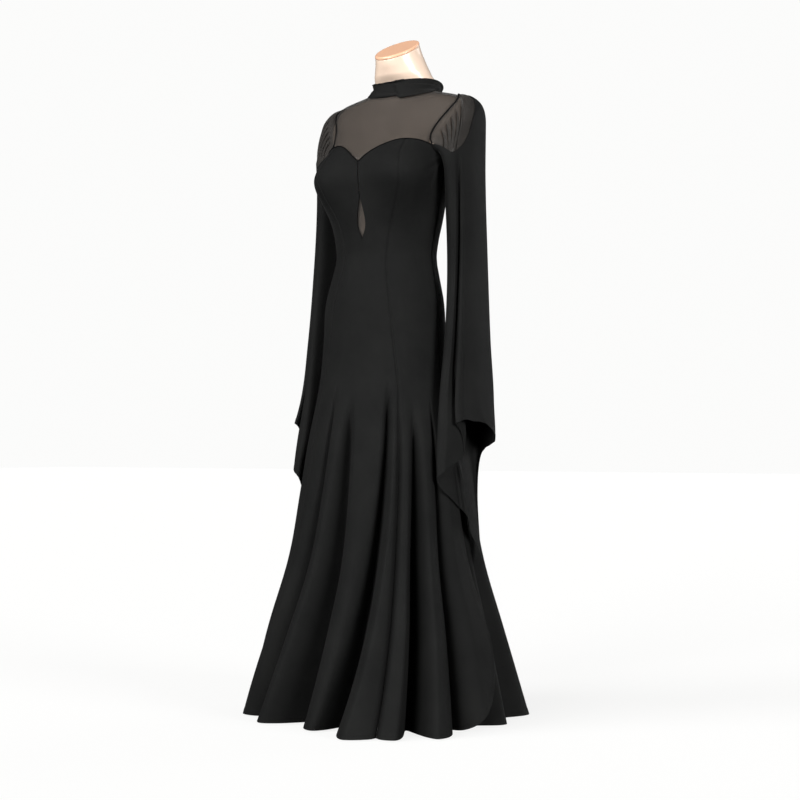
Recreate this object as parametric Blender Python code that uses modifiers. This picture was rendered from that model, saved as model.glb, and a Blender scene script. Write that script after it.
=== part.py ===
"""Ballroom dance dress on an armless dress form, in metres.

+Z is up and the floor is Z = 0. The dress faces -Y, and the wearer's left side is +X. The origin is the
middle of the form's foot, on the floor. Angles round the figure are in degrees from the centre front, and
grow towards the wearer's left side: 0 is the front, 90 the left side seam, 180 the centre back.
"""

import bmesh
import bpy
import math

import numpy as np
from mathutils import Vector

# Driving sizes.
WALL = 0.0015  # thickness of every piece of cloth
SEAM_GAP = 0.0006  # clear air between two pieces that are sewn together
SHEER_IN = 0.0034  # how far a sheer piece lies inside the face of the opaque piece that laps over it
LAP = 0.005  # how far the opaque piece laps over it
HEM_Z = 0.002  # the hem just clears the floor
FOLD_TOP_Z = 0.715  # the gores flare and fold below this height
WAIST_Z = 1.02
SLIT_TOP_Z = 0.45  # the side seams are open below this height
FORM_BOTTOM_Z = 0.72

# Level sections of the worn dress: height, half width, depth in front of and behind the widest line, and
# where that line lies in Y.
SECTION_COLUMNS = ("z", "half_width", "front", "back", "middle_y")
SECTIONS = np.array(
    [
        (0.000, 0.290, 0.290, 0.312, 0.000),
        (0.120, 0.262, 0.262, 0.276, 0.000),
        (0.200, 0.243, 0.242, 0.252, 0.000),
        (0.340, 0.209, 0.203, 0.216, -0.002),
        (0.500, 0.188, 0.174, 0.188, -0.004),
        (0.612, 0.174, 0.154, 0.168, -0.006),
        (0.700, 0.158, 0.134, 0.149, -0.008),
        (0.747, 0.151, 0.120, 0.138, -0.010),
        (0.836, 0.144, 0.110, 0.130, -0.010),
        (0.926, 0.139, 0.106, 0.117, -0.008),
        (0.970, 0.129, 0.101, 0.104, -0.003),
        (1.020, 0.119, 0.096, 0.095, 0.002),
        (1.055, 0.122, 0.100, 0.098, 0.004),
        (1.100, 0.129, 0.109, 0.106, 0.008),
        (1.150, 0.136, 0.119, 0.112, 0.012),
        (1.200, 0.142, 0.129, 0.112, 0.016),
        (1.240, 0.146, 0.129, 0.108, 0.022),
        (1.280, 0.151, 0.104, 0.103, 0.030),
        (1.320, 0.160, 0.080, 0.092, 0.040),
        (1.350, 0.168, 0.066, 0.080, 0.048),
        (1.368, 0.170, 0.060, 0.070, 0.054),
        (1.380, 0.163, 0.058, 0.066, 0.059),
        (1.388, 0.150, 0.057, 0.063, 0.063),
        (1.394, 0.129, 0.057, 0.062, 0.067),
        (1.400, 0.105, 0.057, 0.061, 0.071),
        (1.408, 0.086, 0.058, 0.060, 0.078),
        (1.420, 0.072, 0.061, 0.060, 0.088),
        (1.440, 0.059, 0.055, 0.055, 0.073),
        (1.470, 0.050, 0.050, 0.050, 0.058),
        (1.550, 0.047, 0.048, 0.046, 0.036),
    ]
)

# The cups: a rounded fullness on each side of the centre front.
CUP_ANGLE = 43.0
CUP_SPREAD = 22.0
CUP_Z = 1.187
CUP_FULLNESS = 0.038
CUP_REACH_DOWN = 0.070
CUP_REACH_UP = 0.058

# How the princess seams move round the figure: height, and the angle of the front and of the back one.
PRINCESS = np.array(
    [
        (0.720, 41.0, 139.0),
        (0.836, 35.0, 143.0),
        (0.926, 31.0, 147.0),
        (1.020, 28.0, 150.0),
        (1.055, 30.0, 149.0),
        (1.160, 37.0, 146.0),
        (1.280, 37.0, 144.0),
    ]
)
HIP_FRONT_SEAM, SIDE_SEAM, HIP_BACK_SEAM = 41.0, 90.0, 139.0

# The skirt's folds, one row for each crest and each valley of a gore. hip and hem are angles, out is how
# far the hem stands from its smooth line in millimetres, and sharp says that the fold is a crease and not
# a soft wave. The front folds swing towards the wearer's right as they fall.
FOLD_COLUMNS = ("hip", "hem", "out", "sharp")
FRONT_CENTRE_FOLDS = [
    (-41.0, -68.0, -22, True),
    (-29.0, -59.0, 30, False),
    (-17.0, -49.0, -24, True),
    (-9.0, -35.0, 8, False),
    (0.0, -22.0, -66, False),
    (17.0, -4.0, -24, False),
    (32.0, 5.0, -58, False),
    (37.5, 18.0, 42, False),
    (41.0, 29.0, 22, True),
]
SIDE_FRONT_LEFT_FOLDS = [
    (41.0, 29.0, 22, True),
    (46.0, 36.0, 40, False),
    (53.0, 44.0, -34, False),
    (60.0, 52.0, 42, False),
    (70.0, 65.0, -30, True),
    (79.0, 78.0, 16, False),
    (90.0, 92.0, 22, False),
]
SIDE_FRONT_RIGHT_FOLDS = [
    (41.0, 68.0, -22, True),
    (56.0, 76.0, 26, False),
    (73.0, 84.0, -24, False),
    (90.0, 92.0, 22, False),
]
SIDE_BACK_FOLDS = [
    (90.0, 82.0, -44, False),
    (98.0, 94.0, 4, False),
    (108.0, 105.0, -38, False),
    (120.0, 120.0, 24, False),
    (139.0, 134.0, -26, True),
]
BACK_FOLDS = [
    (139.0, 134.0, -26, True),
    (150.0, 146.0, 28, False),
    (158.0, 157.0, -32, False),
    (168.0, 169.0, 32, False),
    (180.0, 180.0, -20, True),
]
FRONT_COLUMNS_PER_FOLD, BACK_COLUMNS_PER_FOLD = 3, 2
FOLD_GROWTH = 1.25  # folds deepen by this power of the way down to the hem
FOLD_SWING = 2.0  # and swing round by this power of it

# Rows of a gore: shares of the way from the hem up to the knee, then heights up to the waist, then shares
# of the way from the waist to the top edge.
KNEE_Z = 0.500
BELOW_KNEE = (0.0, 0.12, 0.28, 0.46, 0.64, 0.82)
ABOVE_KNEE = (0.500, 0.595, 0.680, 0.760, 0.850, 0.940)
BODICE_ROWS = (0.0, 0.17, 0.34, 0.50, 0.64, 0.76, 0.86, 0.94, 1.0)

# The bodice's top edge: a heart-shaped front and a level back.
HEART_NOTCH_Z, HEART_PEAK_Z, HEART_PEAK_ANGLE = 1.2220, 1.2715, 36.0
BACK_EDGE_Z = 1.250

# The armhole, an oval on the figure that is scooped out low down: its middle, half height, reach to the
# front and back in degrees, and how much of the scoop each has.
ARMHOLE_Z, ARMHOLE_HALF_HEIGHT = 1.310, 0.0745
ARMHOLE_FRONT, ARMHOLE_BACK = 29.0, 22.0
ARMHOLE_FRONT_SCOOP, ARMHOLE_BACK_SCOOP = 0.30, 0.10

# The slit at the centre front, open as a keyhole near its foot.
KEYHOLE_FOOT_Z, KEYHOLE_TOP_Z = 1.054, 1.150
KEYHOLE_HALF_WIDTH = 0.009
KEYHOLE_EASE = 0.032  # the cloth is drawn aside as far as this from the slit
KEYHOLE_WIDEST = 0.36  # the share of its height, from the foot, at which it is widest

# The neck band: its lower edge at the front, sides and back, and its top.
BAND_TOP_Z = 1.420
BAND_FRONT_Z, BAND_SIDE_Z, BAND_BACK_Z = 1.388, 1.402, 1.400
BAND_IN = 0.0009  # its face lies this far inside the dress's, so that it sits on the yokes' upper edges
BAND_LAP_ANGLE, BAND_LAP_DROP = 12.0, 0.006

# The sleeve, a wide tube that hangs from the armhole. Its level sections: height, middle in X and Y, half
# width, depth in front of and behind the middle, how deep its front fold is, and how far its front and
# back edges bend in round the figure.
SLEEVE_COLUMNS = ("z", "middle_x", "middle_y", "half_width", "front", "back", "fold", "bend")
SLEEVE_SECTIONS = np.array(
    [
        (0.340, 0.2500, 0.020, 0.0240, 0.070, 0.062, 1.00, 0.043),
        (0.420, 0.2390, 0.010, 0.0270, 0.080, 0.072, 1.00, 0.041),
        (0.500, 0.2290, 0.006, 0.0290, 0.088, 0.078, 1.00, 0.040),
        (0.560, 0.2230, 0.010, 0.0330, 0.090, 0.080, 1.00, 0.038),
        (0.612, 0.2175, 0.022, 0.0400, 0.092, 0.085, 1.00, 0.036),
        (0.700, 0.2000, 0.044, 0.0340, 0.099, 0.099, 1.00, 0.022),
        (0.836, 0.1880, 0.052, 0.0310, 0.085, 0.085, 0.95, 0.008),
        (1.050, 0.1780, 0.058, 0.0315, 0.070, 0.070, 0.85, 0.000),
        (1.160, 0.1762, 0.059, 0.0315, 0.072, 0.065, 0.55, 0.000),
        (1.230, 0.1765, 0.060, 0.0310, 0.077, 0.062, 0.12, 0.000),
        (1.250, 0.1772, 0.060, 0.0310, 0.077, 0.061, 0.00, 0.000),
        (1.385, 0.1800, 0.062, 0.0300, 0.060, 0.058, 0.00, 0.000),
    ]
)

# Where the sleeve's hem lies round the tube: 0 faces the body, 90 the front, 180 the outside and 270 the
# back.
SLEEVE_HEM = np.array(
    [
        (0, 0.430),
        (20, 0.470),
        (45, 0.524),
        (70, 0.545),
        (90, 0.562),
        (108, 0.590),
        (116, 0.613),
        (124, 0.638),
        (134, 0.656),
        (165, 0.660),
        (188, 0.640),
        (205, 0.612),
        (225, 0.605),
        (236, 0.600),
        (252, 0.583),
        (262, 0.545),
        (275, 0.470),
        (290, 0.400),
        (305, 0.356),
        (320, 0.343),
        (340, 0.370),
        (360, 0.430),
    ]
)

# The sleeve's front fold, where the outer layer laps over the inner one: the share of the way through the
# fold, and how far the cloth then lies along and out of the plain tube, in millimetres.
FRONT_FOLD_FROM, FRONT_FOLD_TO = 108.0, 138.0
FRONT_FOLD = np.array(
    [
        (0.00, 0.0, 0.0),
        (0.16, 0.0, -5.0),
        (0.32, 4.0, -14.0),
        (0.48, 4.5, -17.5),
        (0.62, 0.5, -12.5),
        (0.76, -7.5, -3.0),
        (0.88, -6.0, 2.0),
        (1.00, 0.0, 0.0),
    ]
)
SLEEVE_INNER_COLUMNS = (0, 18, 36, 50, 64, 79, 94)
SLEEVE_OUTER_COLUMNS = (152, 165, 178, 191, 205, 220, 236, 252, 267, 282, 300, 320, 340)
SLEEVE_ROWS = (0.0, 0.08, 0.18, 0.30, 0.44, 0.60, 0.78, 1.0)  # shares of the way from hem to rounded head
HEAD_ROWS = (0.39, 0.71, 0.93, 1.0)  # and of the way up the head
SEAM_OUT = 0.0019  # under the arm the sleeve's seam stands this far outside the gores
SEAM_IN = 0.0030  # and in the yoke it lies this far in, level with the sheer cloth

# The roundness of the shoulder: how far the sleeve falls from the armhole before it hangs straight, round
# the tube.
HEAD_DROP = np.array(
    [
        (0, 0.045),
        (30, 0.055),
        (60, 0.070),
        (110, 0.078),
        (147, 0.070),
        (180, 0.045),
        (205, 0.032),
        (250, 0.035),
        (300, 0.040),
        (360, 0.045),
    ]
)

# How far the tube is turned so that its cloth falls straight from the armhole, round the tube, and the
# heights over which this comes in.
HEAD_SHIFT = np.array(
    [
        (0, 18.0),
        (18, 20.0),
        (36, 24.0),
        (50, 25.0),
        (64, 21.0),
        (79, 13.0),
        (94, 4.0),
        (108, 0.0),
        (282, 0.0),
        (300, 5.0),
        (320, 10.0),
        (340, 14.0),
        (360, 18.0),
    ]
)
SHIFT_FROM_Z, SHIFT_TO_Z = 0.95, 1.20
HEAD_SLANT = 0.014  # there the tube is fuller at its inner front than at its outer front

# The sheer inset in the front of the sleeve's head, a half moon: the height of its lower edge round the
# tube.
INSET_EDGE = np.array(
    [
        (50, 1.2560),
        (64, 1.2500),
        (79, 1.2460),
        (94, 1.2450),
        (108, 1.2480),
        (123, 1.2560),
        (138, 1.2710),
        (152, 1.2970),
        (165, 1.3340),
        (178, 1.3690),
        (191, 1.3800),
    ]
)
INSET_IN = 0.0048  # how far it lies inside the sleeve's face
INSET_ROWS = (0.0, 0.35, 0.65, 0.85, 0.96, 1.0)  # shares of the way from its lower edge to the armhole

YOKE_COLUMNS = 19
YOKE_SIDE_GAPS = 1.2  # a yoke stops this many seam gaps short of the armhole and of the shoulder seam

# The dress form: how far it is set in from the dress's face at each height, its rows above the waist, and
# its slanted neck.
FORM_INSET = np.array(
    [
        (0.720, 0.0062),
        (1.050, 0.0062),
        (1.120, 0.0080),
        (1.240, 0.0080),
        (1.330, 0.0072),
        (1.370, 0.0085),
        (1.405, 0.0082),
        (1.420, 0.0045),
        (1.445, 0.0010),
    ]
)
FORM_COLUMNS = 30
FORM_ROWS = (1.05, 1.10, 1.145, 1.187, 1.225, 1.265, 1.305, 1.340)
SHOULDER_ROWS = (1.362, 1.377, 1.388, 1.396, 1.405, 1.420, 1.445)
NECK_CUT_Z, NECK_CUT_TILT, NECK_CUT_MIDDLE_Y = 1.503, 30.0, 0.053
NECK_LEAN_FROM = 1.420
POLE_RADIUS = 0.0125
FOOT_RADIUS, FOOT_THICKNESS, FOOT_BEVEL = 0.170, 0.012, 0.003
JOINT_GAP = 0.0002

CLOTH = {"color": (0.012, 0.012, 0.013), "roughness": 0.62}
SHEER = {"color": (0.035, 0.031, 0.029), "roughness": 0.70}
SKIN = {"color": (0.86, 0.62, 0.46), "roughness": 0.22}
STEEL = {"color": (0.62, 0.62, 0.64), "roughness": 0.28}


def smooth_table(table, at):
    """Every column of a table read at the heights in its first column, along a curve through its rows."""
    keys, values = table[:, 0], table[:, 1:]
    slopes = np.gradient(values, keys, axis=0)
    at = np.clip(np.asarray(at, float), keys[0], keys[-1])
    low = np.clip(np.searchsorted(keys, at, side="right") - 1, 0, len(keys) - 2)
    span = keys[low + 1] - keys[low]
    f = ((at - keys[low]) / span)[..., None]
    span = span[..., None]
    return (
        (2 * f**3 - 3 * f**2 + 1) * values[low]
        + (f**3 - 2 * f**2 + f) * span * slopes[low]
        + (3 * f**2 - 2 * f**3) * values[low + 1]
        + (f**3 - f**2) * span * slopes[low + 1]
    )


def smoothstep(x):
    x = np.clip(x, 0.0, 1.0)
    return x * x * (3 - 2 * x)


def cup_swell(angle, z):
    """How far the cups stand out of the level section."""
    reach = np.where(z < CUP_Z, CUP_REACH_DOWN, CUP_REACH_UP)
    round_about = np.exp(-(((np.abs(angle) - CUP_ANGLE) / CUP_SPREAD) ** 2))
    return CUP_FULLNESS * round_about * np.exp(-(((z - CUP_Z) / reach) ** 2))


def figure(angle, z, out=0.0):
    """Points on the worn dress's outer surface, moved outwards by out."""
    angle, z = np.broadcast_arrays(np.asarray(angle, float), np.asarray(z, float))
    width, front, back, middle = np.moveaxis(smooth_table(SECTIONS, z), -1, 0)
    turn = np.radians(angle)
    depth = np.where(np.cos(turn) > 0, front, back)
    grow = out + cup_swell(angle, z)
    return np.stack([(width + grow) * np.sin(turn), middle - (depth + grow) * np.cos(turn), z], axis=-1)


def inside(angle, z, distance):
    """Points that lie inside the dress's outer surface by a distance along its normals."""
    angle, z = np.broadcast_arrays(np.asarray(angle, float), np.asarray(z, float))
    round_about = figure(angle + 0.2, z) - figure(angle - 0.2, z)
    upwards = figure(angle, z + 0.002) - figure(angle, z - 0.002)
    normal = np.cross(round_about, upwards)
    normal /= np.linalg.norm(normal, axis=-1, keepdims=True)
    return figure(angle, z) - normal * np.asarray(distance, float)[..., None]


def seam_angle(hip_angle, z):
    """The angle at height z of a line that has hip_angle at the hip, as the princess seams draw it
    along."""
    front, back = np.moveaxis(smooth_table(PRINCESS, z), -1, 0)
    side = np.sign(hip_angle)
    turn = abs(hip_angle)
    if turn <= HIP_FRONT_SEAM:
        return side * turn / HIP_FRONT_SEAM * front
    if turn <= SIDE_SEAM:
        share = (turn - HIP_FRONT_SEAM) / (SIDE_SEAM - HIP_FRONT_SEAM)
        return side * (front + share * (SIDE_SEAM - front))
    if turn <= HIP_BACK_SEAM:
        share = (turn - SIDE_SEAM) / (HIP_BACK_SEAM - SIDE_SEAM)
        return side * (SIDE_SEAM + share * (back - SIDE_SEAM))
    share = (turn - HIP_BACK_SEAM) / (180.0 - HIP_BACK_SEAM)
    return side * (back + share * (180.0 - back))


def armhole_place(turn):
    """Angle and height on the armhole. turn goes from 0 at its foot through 90 in front and 180 at the
    top."""
    turn = np.radians(np.asarray(turn, float))
    in_front = np.sin(turn) > 0
    reach = np.where(in_front, ARMHOLE_FRONT, ARMHOLE_BACK)
    scoop = np.where(in_front, ARMHOLE_FRONT_SCOOP, ARMHOLE_BACK_SCOOP)
    angle = SIDE_SEAM - reach * np.sin(turn) * (1 + scoop * np.cos(turn))
    return angle, ARMHOLE_Z - ARMHOLE_HALF_HEIGHT * np.cos(turn)


def armhole_foot(angle):
    """Height of the armhole's lower edge at an angle near the side seam."""
    angles, heights = armhole_place(np.linspace(-70, 70, 141))
    return np.interp(angle, angles[::-1], heights[::-1])


def heart_edge(angle):
    """The heart-shaped top edge of the bodice's front."""
    angle = np.abs(angle)
    rise = np.sin(np.clip(angle / HEART_PEAK_ANGLE, 0, 1) * math.pi / 2)
    fall = (1 - np.cos(np.clip((angle - HEART_PEAK_ANGLE) / 38.0, 0, 2) * math.pi / 2)) * 0.021
    return HEART_NOTCH_Z + (HEART_PEAK_Z - HEART_NOTCH_Z) * rise - fall


def top_edge(angle):
    """Height of the bodice's top edge: the heart in front, the armhole's foot at the side, and the level
    back."""
    angle = np.abs(angle)
    free = np.where(angle < SIDE_SEAM, heart_edge(angle), BACK_EDGE_Z)
    return np.where(np.abs(angle - SIDE_SEAM) < 20, np.minimum(free, armhole_foot(angle)), free)


def band_edge(angle):
    """Height of the neck band's lower edge. It steps down where the left side laps over the right."""
    turn = np.radians(angle)
    ends = np.where(np.cos(turn) > 0, BAND_FRONT_Z, BAND_BACK_Z)
    level = ends + (BAND_SIDE_Z - ends) * np.sin(turn) ** 2
    left = smoothstep((angle - BAND_LAP_ANGLE) / 4.0) * (1 - smoothstep((angle - BAND_LAP_ANGLE - 4) / 70.0))
    return level - BAND_LAP_DROP * left


def fold_growth(z):
    """0 where the folds start below the hip, 1 at the hem."""
    return np.clip((FOLD_TOP_Z - z) / FOLD_TOP_Z, 0, 1) ** FOLD_GROWTH


def gore_columns(folds):
    """(hip angle, hem angle, out) of each column of a gore, from one crest or valley to the next."""
    columns = []
    steps = FRONT_COLUMNS_PER_FOLD if abs(folds[0][0]) < SIDE_SEAM else BACK_COLUMNS_PER_FOLD
    for (hip, hem, out, sharp), (next_hip, next_hem, next_out, next_sharp) in zip(folds, folds[1:]):
        for step in range(steps):
            share = step / steps
            wave = share if (sharp and next_sharp) else (1 - math.cos(math.pi * share)) / 2
            if sharp and not next_sharp:
                wave = math.sin(math.pi / 2 * share)
            if next_sharp and not sharp:
                wave = 1 - math.cos(math.pi / 2 * share)
            ahead = (hip + (next_hip - hip) * share, hem + (next_hem - hem) * share)
            columns.append((*ahead, out + (next_out - out) * wave))
    columns.append(folds[-1][:3])
    return columns


def petal_hem(hem_angle):
    """Height of the side front gore's hem: its corner at the open side seam is rounded off."""
    across = np.clip((abs(hem_angle) - 64.0) / 26.0, 0, 0.999)
    return HEM_Z + 0.25 * (1 - math.sqrt(1 - across**2))


def gore_grid(folds, side=1, round_corner=False, open_front=False, edges=(1, -1)):
    """Rows of points of a gore from its hem to its top edge. side -1 is the wearer's right. edges says
    which way the first and last column are drawn in to leave the seam's gap."""
    columns = gore_columns(folds)
    rows = len(BELOW_KNEE) + len(ABOVE_KNEE) + len(BODICE_ROWS)
    points = np.zeros((rows, len(columns), 3))
    for j, (hip, hem, out) in enumerate(columns):
        foot = petal_hem(hem) if round_corner else HEM_Z
        top = float(top_edge(seam_angle(hip, np.array(1.27)))) - SEAM_GAP / 2
        heights = [foot + share * (KNEE_Z - foot) for share in BELOW_KNEE] + list(ABOVE_KNEE)
        heights += [WAIST_Z + share * (top - WAIST_Z) for share in BODICE_ROWS]
        for i, z in enumerate(heights):
            grown = float(fold_growth(z))
            way = max(0.0, (FOLD_TOP_Z - z) / FOLD_TOP_Z)
            angle = float(seam_angle(hip, np.array(z))) * (1 - way**FOLD_SWING) + hem * way**FOLD_SWING
            push = out / 1000.0 * grown
            if j == 0 and open_front:
                opened = max(0.0, (SLIT_TOP_Z - z) / SLIT_TOP_Z)
                angle = SIDE_SEAM + (hem - SIDE_SEAM) * float(smoothstep(opened * 1.25 - 0.25))
                push = out / 1000.0 * opened**0.8
            radius = math.hypot(*figure(angle, z)[:2])
            if j == 0:
                angle += edges[0] * math.degrees(SEAM_GAP / 2 / radius)
            if j == len(columns) - 1:
                angle += edges[1] * math.degrees(SEAM_GAP / 2 / radius)
            points[i, j] = figure(angle * side, z, push)
    return points


def new_material(name, finish, metallic=0.0):
    material = bpy.data.materials.get(name) or bpy.data.materials.new(name)
    material.use_nodes = True
    shader = material.node_tree.nodes["Principled BSDF"]
    shader.inputs["Base Color"].default_value = (*finish["color"], 1.0)
    shader.inputs["Roughness"].default_value = finish["roughness"]
    shader.inputs["Metallic"].default_value = metallic
    return material


def new_object(name, mesh, material, collection):
    obj = bpy.data.objects.new(name, mesh)
    obj.data.materials.append(material)
    collection.objects.link(obj)
    mesh.shade_smooth()
    return obj


def sheet_mesh(name, points, closed=False, joined=None):
    """An open mesh over a grid of points. closed joins the last column to the first. joined is a pair of
    column numbers with the same place and the number of rows over which they are one."""
    rows, columns = points.shape[:2]
    last = columns if closed else columns - 1
    faces = []
    for i in range(rows - 1):
        for j in range(last):
            if joined and j == joined[0]:
                continue
            k = (j + 1) % columns
            faces.append((i * columns + j, i * columns + k, (i + 1) * columns + k, (i + 1) * columns + j))
    mesh = bpy.data.meshes.new(name)
    mesh.from_pydata([tuple(p) for p in points.reshape(-1, 3)], [], faces)
    return mesh


def outward(mesh, centre_of):
    """Turns the faces so that they point away from the cloth's inside."""
    build = bmesh.new()
    build.from_mesh(mesh)
    bmesh.ops.remove_doubles(build, verts=build.verts, dist=1e-6)
    score = 0.0
    for face in build.faces:
        middle = face.calc_center_median()
        score += (middle - centre_of(middle)).dot(face.normal) * face.calc_area()
    if score < 0:
        bmesh.ops.reverse_faces(build, faces=build.faces)
    build.to_mesh(mesh)
    build.free()


def cloth(name, points, material, collection, closed=False, joined=None, axis_x=0.0):
    """A piece of cloth: an open sheet that Solidify thickens inwards."""
    mesh = sheet_mesh(name, points, closed, joined)
    outward(mesh, lambda p: Vector((axis_x, 0.03, p.z)))
    obj = new_object(name, mesh, material, collection)
    solidify = obj.modifiers.new("wall", "SOLIDIFY")
    solidify.thickness = WALL
    solidify.offset = -1.0
    solidify.use_even_offset = False
    return obj


def make_gores(black, collection):
    """The seven long panels of bodice and skirt in one."""
    front = gore_grid(FRONT_CENTRE_FOLDS)
    middle = front.shape[1] // 2
    # The front centre gore is split from its top edge down to the keyhole's foot.
    left, right = front[:, middle:].copy(), front[:, : middle + 1].copy()
    foot_row = next(i for i in range(len(front)) if front[i, middle, 2] >= KEYHOLE_FOOT_Z)
    for i in range(foot_row + 1, len(front)):
        # The columns next to the slit are drawn aside with its edges.
        for part, sign in ((left, 1), (right, -1)):
            across = np.abs(part[i, :, 0])
            half = keyhole_half_width(front[i, middle, 2])
            moved = np.where(across < KEYHOLE_EASE, half + across * (1 - half / KEYHOLE_EASE), across)
            order = np.argsort(front[i, :, 0])
            part[i, :, 1] = np.interp(sign * moved, front[i, order, 0], front[i, order, 1])
            part[i, :, 0] = sign * moved
    both = np.concatenate([right, left], axis=1)
    cloth("front_centre", both, black, collection, joined=(middle, foot_row))
    for side, tag, front_folds in ((1, "left", SIDE_FRONT_LEFT_FOLDS), (-1, "right", SIDE_FRONT_RIGHT_FOLDS)):
        cloth(
            f"side_front_{tag}",
            gore_grid(front_folds, side, round_corner=True),
            black,
            collection,
        )
        cloth(
            f"side_back_{tag}",
            gore_grid(SIDE_BACK_FOLDS, side, open_front=True),
            black,
            collection,
        )
        cloth(f"back_{tag}", gore_grid(BACK_FOLDS, side), black, collection)


def keyhole_half_width(z):
    """Half the gap between the edges of the centre front slit at height z."""
    up = (z - KEYHOLE_FOOT_Z) / (KEYHOLE_TOP_Z - KEYHOLE_FOOT_Z)
    if up >= 1:
        return SEAM_GAP
    bulge = np.interp(up, (0, KEYHOLE_WIDEST, 1), (0, 1, 0))
    return max(SEAM_GAP, KEYHOLE_HALF_WIDTH * math.sin(bulge * math.pi / 2) ** 1.3)


def sleeve_point(turn, z, along=0.0, out=0.0):
    """A point of the left sleeve's outer surface."""
    middle_x, middle_y, half_width, front, back, fold, bend = smooth_table(SLEEVE_SECTIONS, z)
    near_head = float(smoothstep((z - SHIFT_FROM_Z) / (SHIFT_TO_Z - SHIFT_FROM_Z)))
    t = math.radians(turn + float(smooth_table(HEAD_SHIFT, turn)[0]) * near_head)
    depth = front + HEAD_SLANT * near_head * math.cos(t) if math.sin(t) > 0 else back
    tangent = np.array((half_width * math.sin(t), -depth * math.cos(t)))
    tangent /= np.hypot(*tangent)
    normal = np.array((tangent[1], -tangent[0]))
    across = middle_x - half_width * math.cos(t) - bend * math.sin(t) ** 2
    place = np.array((across, middle_y - depth * math.sin(t)))
    place += (tangent * along + normal * out) * fold / 1000.0
    # Towards the armhole the tube closes in on the seam in a round.
    angle, seam_z = armhole_place(turn)
    under_arm = float(smoothstep((math.cos(math.radians(turn)) - 0.35) / 0.30))
    seam = figure(angle, seam_z, SEAM_OUT * under_arm - SEAM_IN * (1 - under_arm))
    drop = float(smooth_table(HEAD_DROP, turn)[0])
    fallen = min(1.0, max(0.0, (seam[2] - z) / drop))
    way = place - seam[:2]
    grown = max(math.sqrt(1 - (1 - fallen) ** 2), SEAM_GAP / np.hypot(*way))
    return np.array((*(seam[:2] + way * grown), z))


def sleeve_columns():
    """(turn, along, out) of each column of points round the sleeve."""
    columns = [(turn, 0.0, 0.0) for turn in SLEEVE_INNER_COLUMNS]
    for share, along, out in FRONT_FOLD:
        columns.append((FRONT_FOLD_FROM + share * (FRONT_FOLD_TO - FRONT_FOLD_FROM), along, out))
    return columns + [(turn, 0.0, 0.0) for turn in SLEEVE_OUTER_COLUMNS]


def set_in(grid, distance):
    """A grid of points moved inwards along its own normals, by one distance or by one for each point."""
    normal = np.cross(np.gradient(grid, axis=1), np.gradient(grid, axis=0))
    normal /= np.linalg.norm(normal, axis=-1, keepdims=True)
    return grid - normal * np.asarray(distance, float)[..., None]


def make_sleeves(black, sheer, collection):
    """Each sleeve, with the sheer inset in its head."""
    columns = sleeve_columns()
    first, last = INSET_EDGE[0, 0], INSET_EDGE[-1, 0]
    sleeve = np.zeros((len(SLEEVE_ROWS) + len(HEAD_ROWS), len(columns), 3))
    inset, depth = [], []
    for j, (turn, along, out) in enumerate(columns):
        seam = float(armhole_place(turn)[1])
        hem = float(smooth_table(SLEEVE_HEM, turn)[0])
        head = seam - float(smooth_table(HEAD_DROP, turn)[0])
        top = seam
        if first <= turn <= last:
            top = float(np.interp(turn, INSET_EDGE[:, 0], INSET_EDGE[:, 1]))
            head = top - 0.030
            low = top - LAP
            inset.append([sleeve_point(turn, low + share * (seam - low), along, out) for share in INSET_ROWS])
            beyond = [max(0.0, (low + share * (seam - low) - top) / (seam - top)) for share in INSET_ROWS]
            depth.append([INSET_IN * (1 - float(smoothstep((way - 0.3) / 0.7))) for way in beyond])
        heights = [hem + share * (head - hem) for share in SLEEVE_ROWS]
        heights += [head + share * (top - head) for share in HEAD_ROWS]
        for i, z in enumerate(heights):
            sleeve[i, j] = sleeve_point(turn, z, along, out)
    # The inset lies inside the sleeve's face where that laps over it, and comes out level at the armhole.
    inset = set_in(np.array(inset).transpose(1, 0, 2), np.array(depth).T)
    for side, tag in ((1, "left"), (-1, "right")):
        mirror = np.array((side, 1, 1))
        cloth(f"sleeve_{tag}", sleeve * mirror, black, collection, closed=True, axis_x=0.178 * side)
        cloth(f"sleeve_inset_{tag}", inset * mirror, sheer, collection, axis_x=0.178 * side)


def yoke_grid(middle, turns, low_edge, high_edge):
    """Rows of points of a yoke from behind the bodice's edge to behind the neck band. middle is 0 for the
    front, 180 for the back. turns are the places on the armhole that the first rows start from. The rest
    follow the shoulder."""
    side_angle, side_z = armhole_place(np.array(turns))
    shoulder = float(high_edge(np.array(SIDE_SEAM))) + LAP - side_z[-1]
    side_z = np.concatenate([side_z, side_z[-1] + shoulder * np.array((0.45, 0.80, 1.0))])
    reach = np.concatenate([np.abs(side_angle - middle), np.full(3, SIDE_SEAM)])
    rise = (side_z - side_z[0]) / (side_z[-1] - side_z[0])
    across = np.linspace(-1, 1, YOKE_COLUMNS)
    low = low_edge(middle + across * reach[0]) - LAP
    high = high_edge(middle + across * reach[-1]) + LAP
    # The rows leave the armhole at its own heights and even out towards the middle.
    level = rise[:, None] * (high - low)[None, :] + low[None, :]
    level += (side_z - level[:, 0])[:, None] * np.abs(across)[None, :] ** 4
    side = figure(middle + reach + 0.5, side_z) - figure(middle + reach - 0.5, side_z)
    reach -= SEAM_GAP * YOKE_SIDE_GAPS / np.linalg.norm(side, axis=-1)
    angle = middle + across[None, :] * reach[:, None]
    return inside(angle, level, SHEER_IN)


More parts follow.
